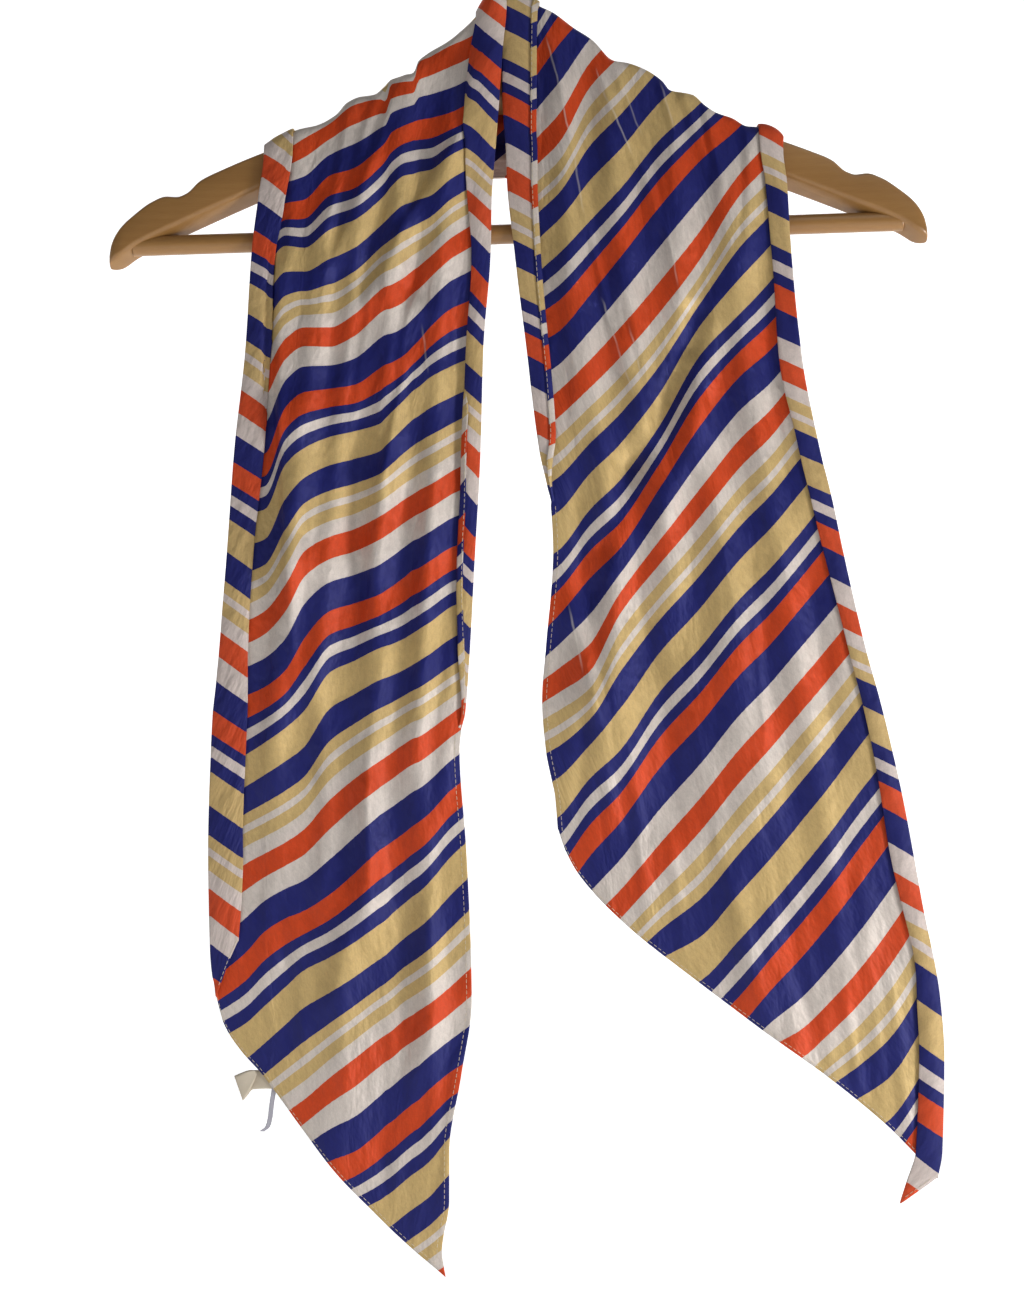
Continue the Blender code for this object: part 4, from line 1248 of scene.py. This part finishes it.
def board_points():
    """Rounded rectangles along the arms: corner centres plus radius times cosine and sine."""
    reach = BOARD_TOP["out"][-1]
    inside = np.arange(0, reach - TIP_LENGTH, STATION_STEP)
    tip = reach - TIP_LENGTH + TIP_LENGTH * np.sin(np.linspace(0, math.pi / 2, 9))
    half = np.concatenate([inside, tip])
    out = np.concatenate([-half[:0:-1], half])
    top = along(BOARD_TOP, "out", "drop", np.abs(out))
    foot = along(BOARD_FOOT, "out", "drop", np.abs(out))
    to_tip = np.clip((reach - np.abs(out)) / TIP_LENGTH, 0, 1)
    roundness = np.sqrt(np.clip(1 - (1 - to_tip) ** 2, 0.0, 1))
    depth = TIP_HALF_DEPTH + (BOARD_HALF - TIP_HALF_DEPTH) * roundness
    half_height = np.maximum((foot - top) / 2, 0.6)
    middle = (foot + top) / 2
    radius = np.minimum(BOARD_ROUNDING, np.minimum(half_height, depth) * 0.95)
    quarter = np.linspace(0, math.pi / 2, CORNER_POINTS)
    turn = np.concatenate([quarter + corner * math.pi / 2 for corner in range(4)])
    side_y = np.repeat([1, -1, -1, 1], CORNER_POINTS)
    side_z = np.repeat([1, 1, -1, -1], CORNER_POINTS)
    y = side_y * (depth - radius)[:, None] + radius[:, None] * np.cos(turn)
    z = side_z * (half_height - radius)[:, None] + radius[:, None] * np.sin(turn)
    slant = FOOT_SLANT * smooth(0.5 - z / half_height[:, None]) * (0.5 + y / (2 * BOARD_HALF))
    z = z - middle[:, None] - slant
    x = np.broadcast_to(out[:, None], z.shape)
    return np.stack([x, y, z], axis=-1)


def wood(name, along_axis):
    """Pale lacquered wood: long grain, darker late-wood lines and small flecks of pore."""
    made, shader, wire = new_material(
        name, Specular_IOR_Level=0.5, Coat_Weight=0.25, Coat_Roughness=0.25)
    stretch = (8.0 if axis == along_axis else 95.0 for axis in range(3))
    grain_place = wire.place().stretched(*stretch)
    warp = grain_place.noise(0.6)
    rings = wire.node("TexWave", {"bands_direction": "Z", "wave_profile": "SIN"}, {
        "Vector": grain_place, "Scale": 0.7, "Distortion": 7.0, "Detail": 2.0, "Detail Scale": 0.6,
    }, 1)
    pore_stretch = (160.0 if axis == along_axis else 2600.0 for axis in range(3))
    pores = wire.place().stretched(*pore_stretch).noise(1.0, 1.0)
    tone = (rings * 0.08 + warp * 0.62 + pores * 0.3).between(0.2, 0.8)
    stops = [(0.0, linear(134, 94, 46)), (0.5, linear(147, 106, 56)), (1.0, linear(160, 119, 67))]
    feed(shader, "Base Color", wire.node("ValToRGB", {"stops": stops}, {0: tone}))
    feed(shader, "Roughness", pores * 0.15 + 0.34)
    feed(shader, "Normal", (pores * 0.6 + rings * 0.4).bump(0.35, 0.15))
    return made


board_wood = wood("hanger_wood", 0)
board = grid_object("hanger_board", posed(board_points()), (board_wood,), ring=True, caps=True)
print("board vertices", len(board.data.vertices))

# %% [markdown]
# ## The bar and the hook
#
# The bar is turned dowel let into the board's ends. The hook is bent from bright wire: a straight
# stem, a soft bend, and a ring that stops short with a rounded end. Both are a circle carried along
# a path, with the path's direction and a fixed side direction giving each ring its plane.

# %% Tube along a path
def tube_points(path, radius, sides):
    """Rings round a path that lies in the plane y = 0: side direction and Y span each ring."""
    ahead = np.gradient(path, axis=0)
    ahead /= np.linalg.norm(ahead, axis=-1, keepdims=True)
    depth = np.array([0.0, 1.0, 0.0])
    beside = np.cross(ahead, depth)
    turn = np.arange(sides) / sides * 2 * math.pi
    ring = beside[:, None] * np.cos(turn)[:, None] + depth * np.sin(turn)[:, None]
    return path[:, None] + ring * np.broadcast_to(radius, len(path))[:, None, None]


BAR_SIDES, WIRE_SIDES = 40, 20
bar_end = [BAR_HALF_LENGTH - 0.3, BAR_HALF_LENGTH]
bar_half = np.concatenate([np.linspace(0, BAR_HALF_LENGTH - 1.0, 60), bar_end])
bar_x = np.concatenate([-bar_half[:0:-1], bar_half])
bar_radius = BAR_RADIUS - np.where(np.abs(bar_x) > BAR_HALF_LENGTH - 0.1, 0.8, 0.0)
bar_path = np.stack([bar_x, 0 * bar_x, 0 * bar_x - BAR_DROP], axis=-1)
bar_points = posed(tube_points(bar_path, bar_radius, BAR_SIDES))
bar = grid_object("hanger_dowel", bar_points, (board_wood,), ring=True, caps=True)


RING_START, RING_END = -52, 216
BEND_HEIGHT = 13.0


def hook_path():
    """Stem, soft bend and ring, as one smooth curve through the bend's own points."""
    radius = HOOK_INNER_RADIUS + WIRE_RADIUS
    stem_top = HOOK_INNER_RADIUS + radius + BEND_HEIGHT
    seat = BOARD_TOP["drop"][0] + HOOK_SEAT_DEPTH
    bend = math.radians(RING_START)
    joint = (radius * math.cos(bend), -HOOK_INNER_RADIUS + radius * math.sin(bend))
    stem = np.stack([np.zeros(24), -np.linspace(seat, stem_top, 24)], -1)
    share = np.linspace(0, 1, 14)[1:-1]
    soft = np.stack([joint[0] * smooth(share), -stem_top + (joint[1] + stem_top) * share], -1)
    angle = np.radians(np.arange(RING_START, RING_END, 4.0))
    ring = np.stack([radius * np.cos(angle), -HOOK_INNER_RADIUS + radius * np.sin(angle)], -1)
    flat = np.concatenate([stem, soft, ring])
    once, twice = flat[21:-3] + flat[23:-1], flat[20:-4] + flat[24:]
    flat[22:-2] = (twice + 2 * once + 3 * flat[22:-2]) / 9
    return np.stack([flat[:, 0], 0 * flat[:, 0], flat[:, 1]], axis=-1)


hook_line = hook_path()
hook_radius = np.full(len(hook_line), WIRE_RADIUS)
hook_radius[-3:] = WIRE_RADIUS * np.array([0.96, 0.8, 0.4])
wire_metal, wire_shader, metal_wire = new_material("hook_wire", Metallic=1.0)
metal_marks = metal_wire.place().noise(900.0, 3.0)
feed(wire_shader, "Base Color", metal_marks.mixed((0.52, 0.52, 0.53, 1), (0.72, 0.72, 0.73, 1)))
feed(wire_shader, "Roughness", metal_marks * 0.2 + 0.18)
hook_points = posed(tube_points(hook_line, hook_radius, WIRE_SIDES))
hook = grid_object("wire_hook", hook_points, (wire_metal,), ring=True, caps=True)
print("hook rings", len(hook_line), "bar rings", len(bar_path))

# %% [markdown]
# ## The little label
#
# A bare woven label is folded into the seam behind the left cut, and a thin tape hangs beside it.
# Both are ribbons: a middle line with a width at each place, and a thin wall.

# %% Label and tail
LABEL_BEHIND_Y = -30.2
LABEL_LINE = table(
    "x drop lean half depth",
    (-123.5, 653.8, 0.4, 4.6, 0.4), (-130, 653.2, 0.2, 4.9, 0.6), (-137, 653.4, 0.6, 5.2, 1.2),
    (-141.5, 656, 1.6, 6.2, 1.8), (-143.9, 657.6, 2.2, 6.6, 1.2), (-144.2, 657.6, 2.3, 6.6, -0.6),
    (-141.8, 655.2, 2.6, 5.2, -1.9), (-138.4, 651.6, 2.2, 3.0, -2.3), (-135, 648.4, 0.8, 0.7, -2.0),
)
TAIL_LINE = table(
    "x drop depth",
    (-124, 651, 0.0), (-125.5, 660, 0.2), (-126.5, 666, 0.6), (-127.5, 674, 1.2), (-129, 679, 1.8),
    (-132, 681.5, 2.2),
)


def resampled(rows, count):
    """A table's columns at even steps of row number, through the same smooth curve."""
    number = {"row": np.arange(len(rows["x"]), dtype=float), **rows}
    at = np.linspace(0, len(rows["x"]) - 1, count)
    return {name: along(number, "row", name, at) for name in rows}


def ribbon(name, middle, half_across, half_down, finish, thickness):
    """A band about a middle line: its half width lies partly sideways and partly downwards."""
    side = np.linspace(-1, 1, 9)[None, :]
    x = middle["x"][:, None] + side * half_across
    drop = middle["drop"][:, None] + side * half_down
    y = LABEL_BEHIND_Y + middle["depth"][:, None] + 0 * side
    band = grid_object(name, np.stack([x, y + 0 * drop, -drop], axis=-1), (finish,))
    wall = band.modifiers.new("wall", "SOLIDIFY")
    wall.thickness = thickness * MM
    wall.offset = 0.0
    return band


def tape(name, light, dark, alpha):
    """Plain woven tape: fine crossing ribs, slightly soiled in patches."""
    made, shader, wire = new_material(name, Roughness=0.75, Sheen_Weight=0.15, Alpha=alpha)
    place = wire.place()
    ribs = wire.node("TexWave", {"bands_direction": "Z"}, {"Vector": place, "Scale": 600.0}, 1)
    feed(shader, "Base Color", place.noise(120.0, 3.0).mixed((*dark, 1), (*light, 1)))
    feed(shader, "Normal", ribs.bump(0.4, 0.1))
    return made


label_tape = tape("label_tape", linear(214, 202, 182), linear(190, 176, 154), 1.0)
tail_tape = tape("tail_tape", linear(186, 184, 194), linear(160, 158, 168), 0.8)
label_middle = resampled(LABEL_LINE, 44)
label_lean, label_half = label_middle["lean"][:, None], label_middle["half"][:, None]
label = ribbon("folded_label", label_middle, label_lean, label_half, label_tape, 0.5)
tail_middle = resampled(TAIL_LINE, 40)
tail = ribbon("label_tape_tail", tail_middle, 1.3, 0.0, tail_tape, 0.5)
print("label vertices", len(label.data.vertices), "tail vertices", len(tail.data.vertices))

# %% [markdown]
# ## The pieces on the body
#
# Every piece rides on the one body, and the solids of the model that the pieces stand for are
# hidden. The area of each sheet is worked out once more and not kept.

# %% Frame calls
for piece in (*halves.values(), *stitches.values(), board, bar, hook, label, tail):
    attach(piece, "root")
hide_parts("left_panel", "left_outer_fold", "left_inner_fold", "nape")
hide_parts("right_panel", "right_outer_fold", "right_inner_fold")
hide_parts("hanger_yoke")
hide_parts("hanger_bar")
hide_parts("hanger_hook")
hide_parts("sewn_label")
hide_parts("label_tail")
grid_area(GRIDS["left"][0])
grid_area(GRIDS["right"][0])

# %% [markdown]
# ## Studio
#
# The scarf hangs before a pale seamless sweep: a floor that curves up into a wall. A camera that
# stands behind the paper looks through it, so that the back of the scarf can be seen too. Soft
# lamps stand low, to the right, in front and to the left, and show the satin's folds and shine.

# %% Stage and lights
FLOOR_DROP = 830.0
WALL_Y = 900.0
SWEEP_RADIUS = 500.0
STAGE_HALF_WIDTH = 3000.0


def sweep_points():
    """Floor, quarter circle and wall, from the front to the top, carried sideways."""
    turn = np.linspace(0, math.pi / 2, 24)
    curve_y = WALL_Y - SWEEP_RADIUS + SWEEP_RADIUS * np.sin(turn)
    curve_z = -FLOOR_DROP + SWEEP_RADIUS * (1 - np.cos(turn))
    y = np.concatenate([[-2500.0], curve_y, [WALL_Y]])
    z = np.concatenate([[-FLOOR_DROP], curve_z, [2200.0]])
    x = np.linspace(-STAGE_HALF_WIDTH, STAGE_HALF_WIDTH, 3)
    x, y = np.meshgrid(x, y)
    return np.stack([x, y, z[:, None] + 0 * x], axis=-1)


paper, paper_shader, paper_wire = new_material(
    "backdrop_paper", Roughness=0.9, Base_Color=(0.9, 0.9, 0.9, 1),
    Emission_Color=(1.0, 1.0, 1.0, 1), Emission_Strength=0.6)
from_behind = paper_wire.node("LightPath") * paper_wire.node("NewGeometry", output="Backfacing")
opaque, clear = paper_shader.outputs["BSDF"], paper_wire.node("BsdfTransparent")
cover = paper_wire.node("MixShader", {}, {0: from_behind, 1: Wire(clear.tree, opaque), 2: clear})
feed(paper.node_tree.nodes["Material Output"], "Surface", cover)
backdrop = grid_object("backdrop", sweep_points()[::-1], (paper,))


def area_light(name, place, aim, size, power):
    """A square lamp at a place, turned to face a point, both in metres."""
    data = bpy.data.lights.new(name, "AREA")
    data.size = size
    data.energy = power
    lamp = link(bpy.data.objects.new(name, data))
    lamp.location = place
    way = np.array(aim) - np.array(place)
    pitch = math.atan2(math.hypot(way[0], way[1]), -way[2])
    lamp.rotation_euler = (pitch, 0.0, math.atan2(-way[0], way[1]))
    return lamp


for lamp in (
    ("key", (1.35, -0.8, -0.85), (0.0, 0.0, -0.5), 0.4, 33.0),
    ("front", (0.4, -1.1, -1.15), (0.0, 0.0, -0.5), 0.4, 8.5),
    ("fill", (-1.2, -1.0, -1.1), (0.0, 0.0, -0.5), 0.8, 14.0),
    ("top", (0.5, -0.7, 0.8), (0.0, 0.0, -0.2), 0.5, 1.6),
):
    area_light(*lamp)
world = bpy.data.worlds.new("studio")
world.use_nodes = True
sky = world.node_tree.nodes["Background"].inputs
sky["Color"].default_value, sky["Strength"].default_value = (0.95, 0.97, 1.0, 1), 0.14
bpy.context.scene.world = world
bpy.context.scene.view_settings.view_transform = "Standard"
print("stage and lights ready")
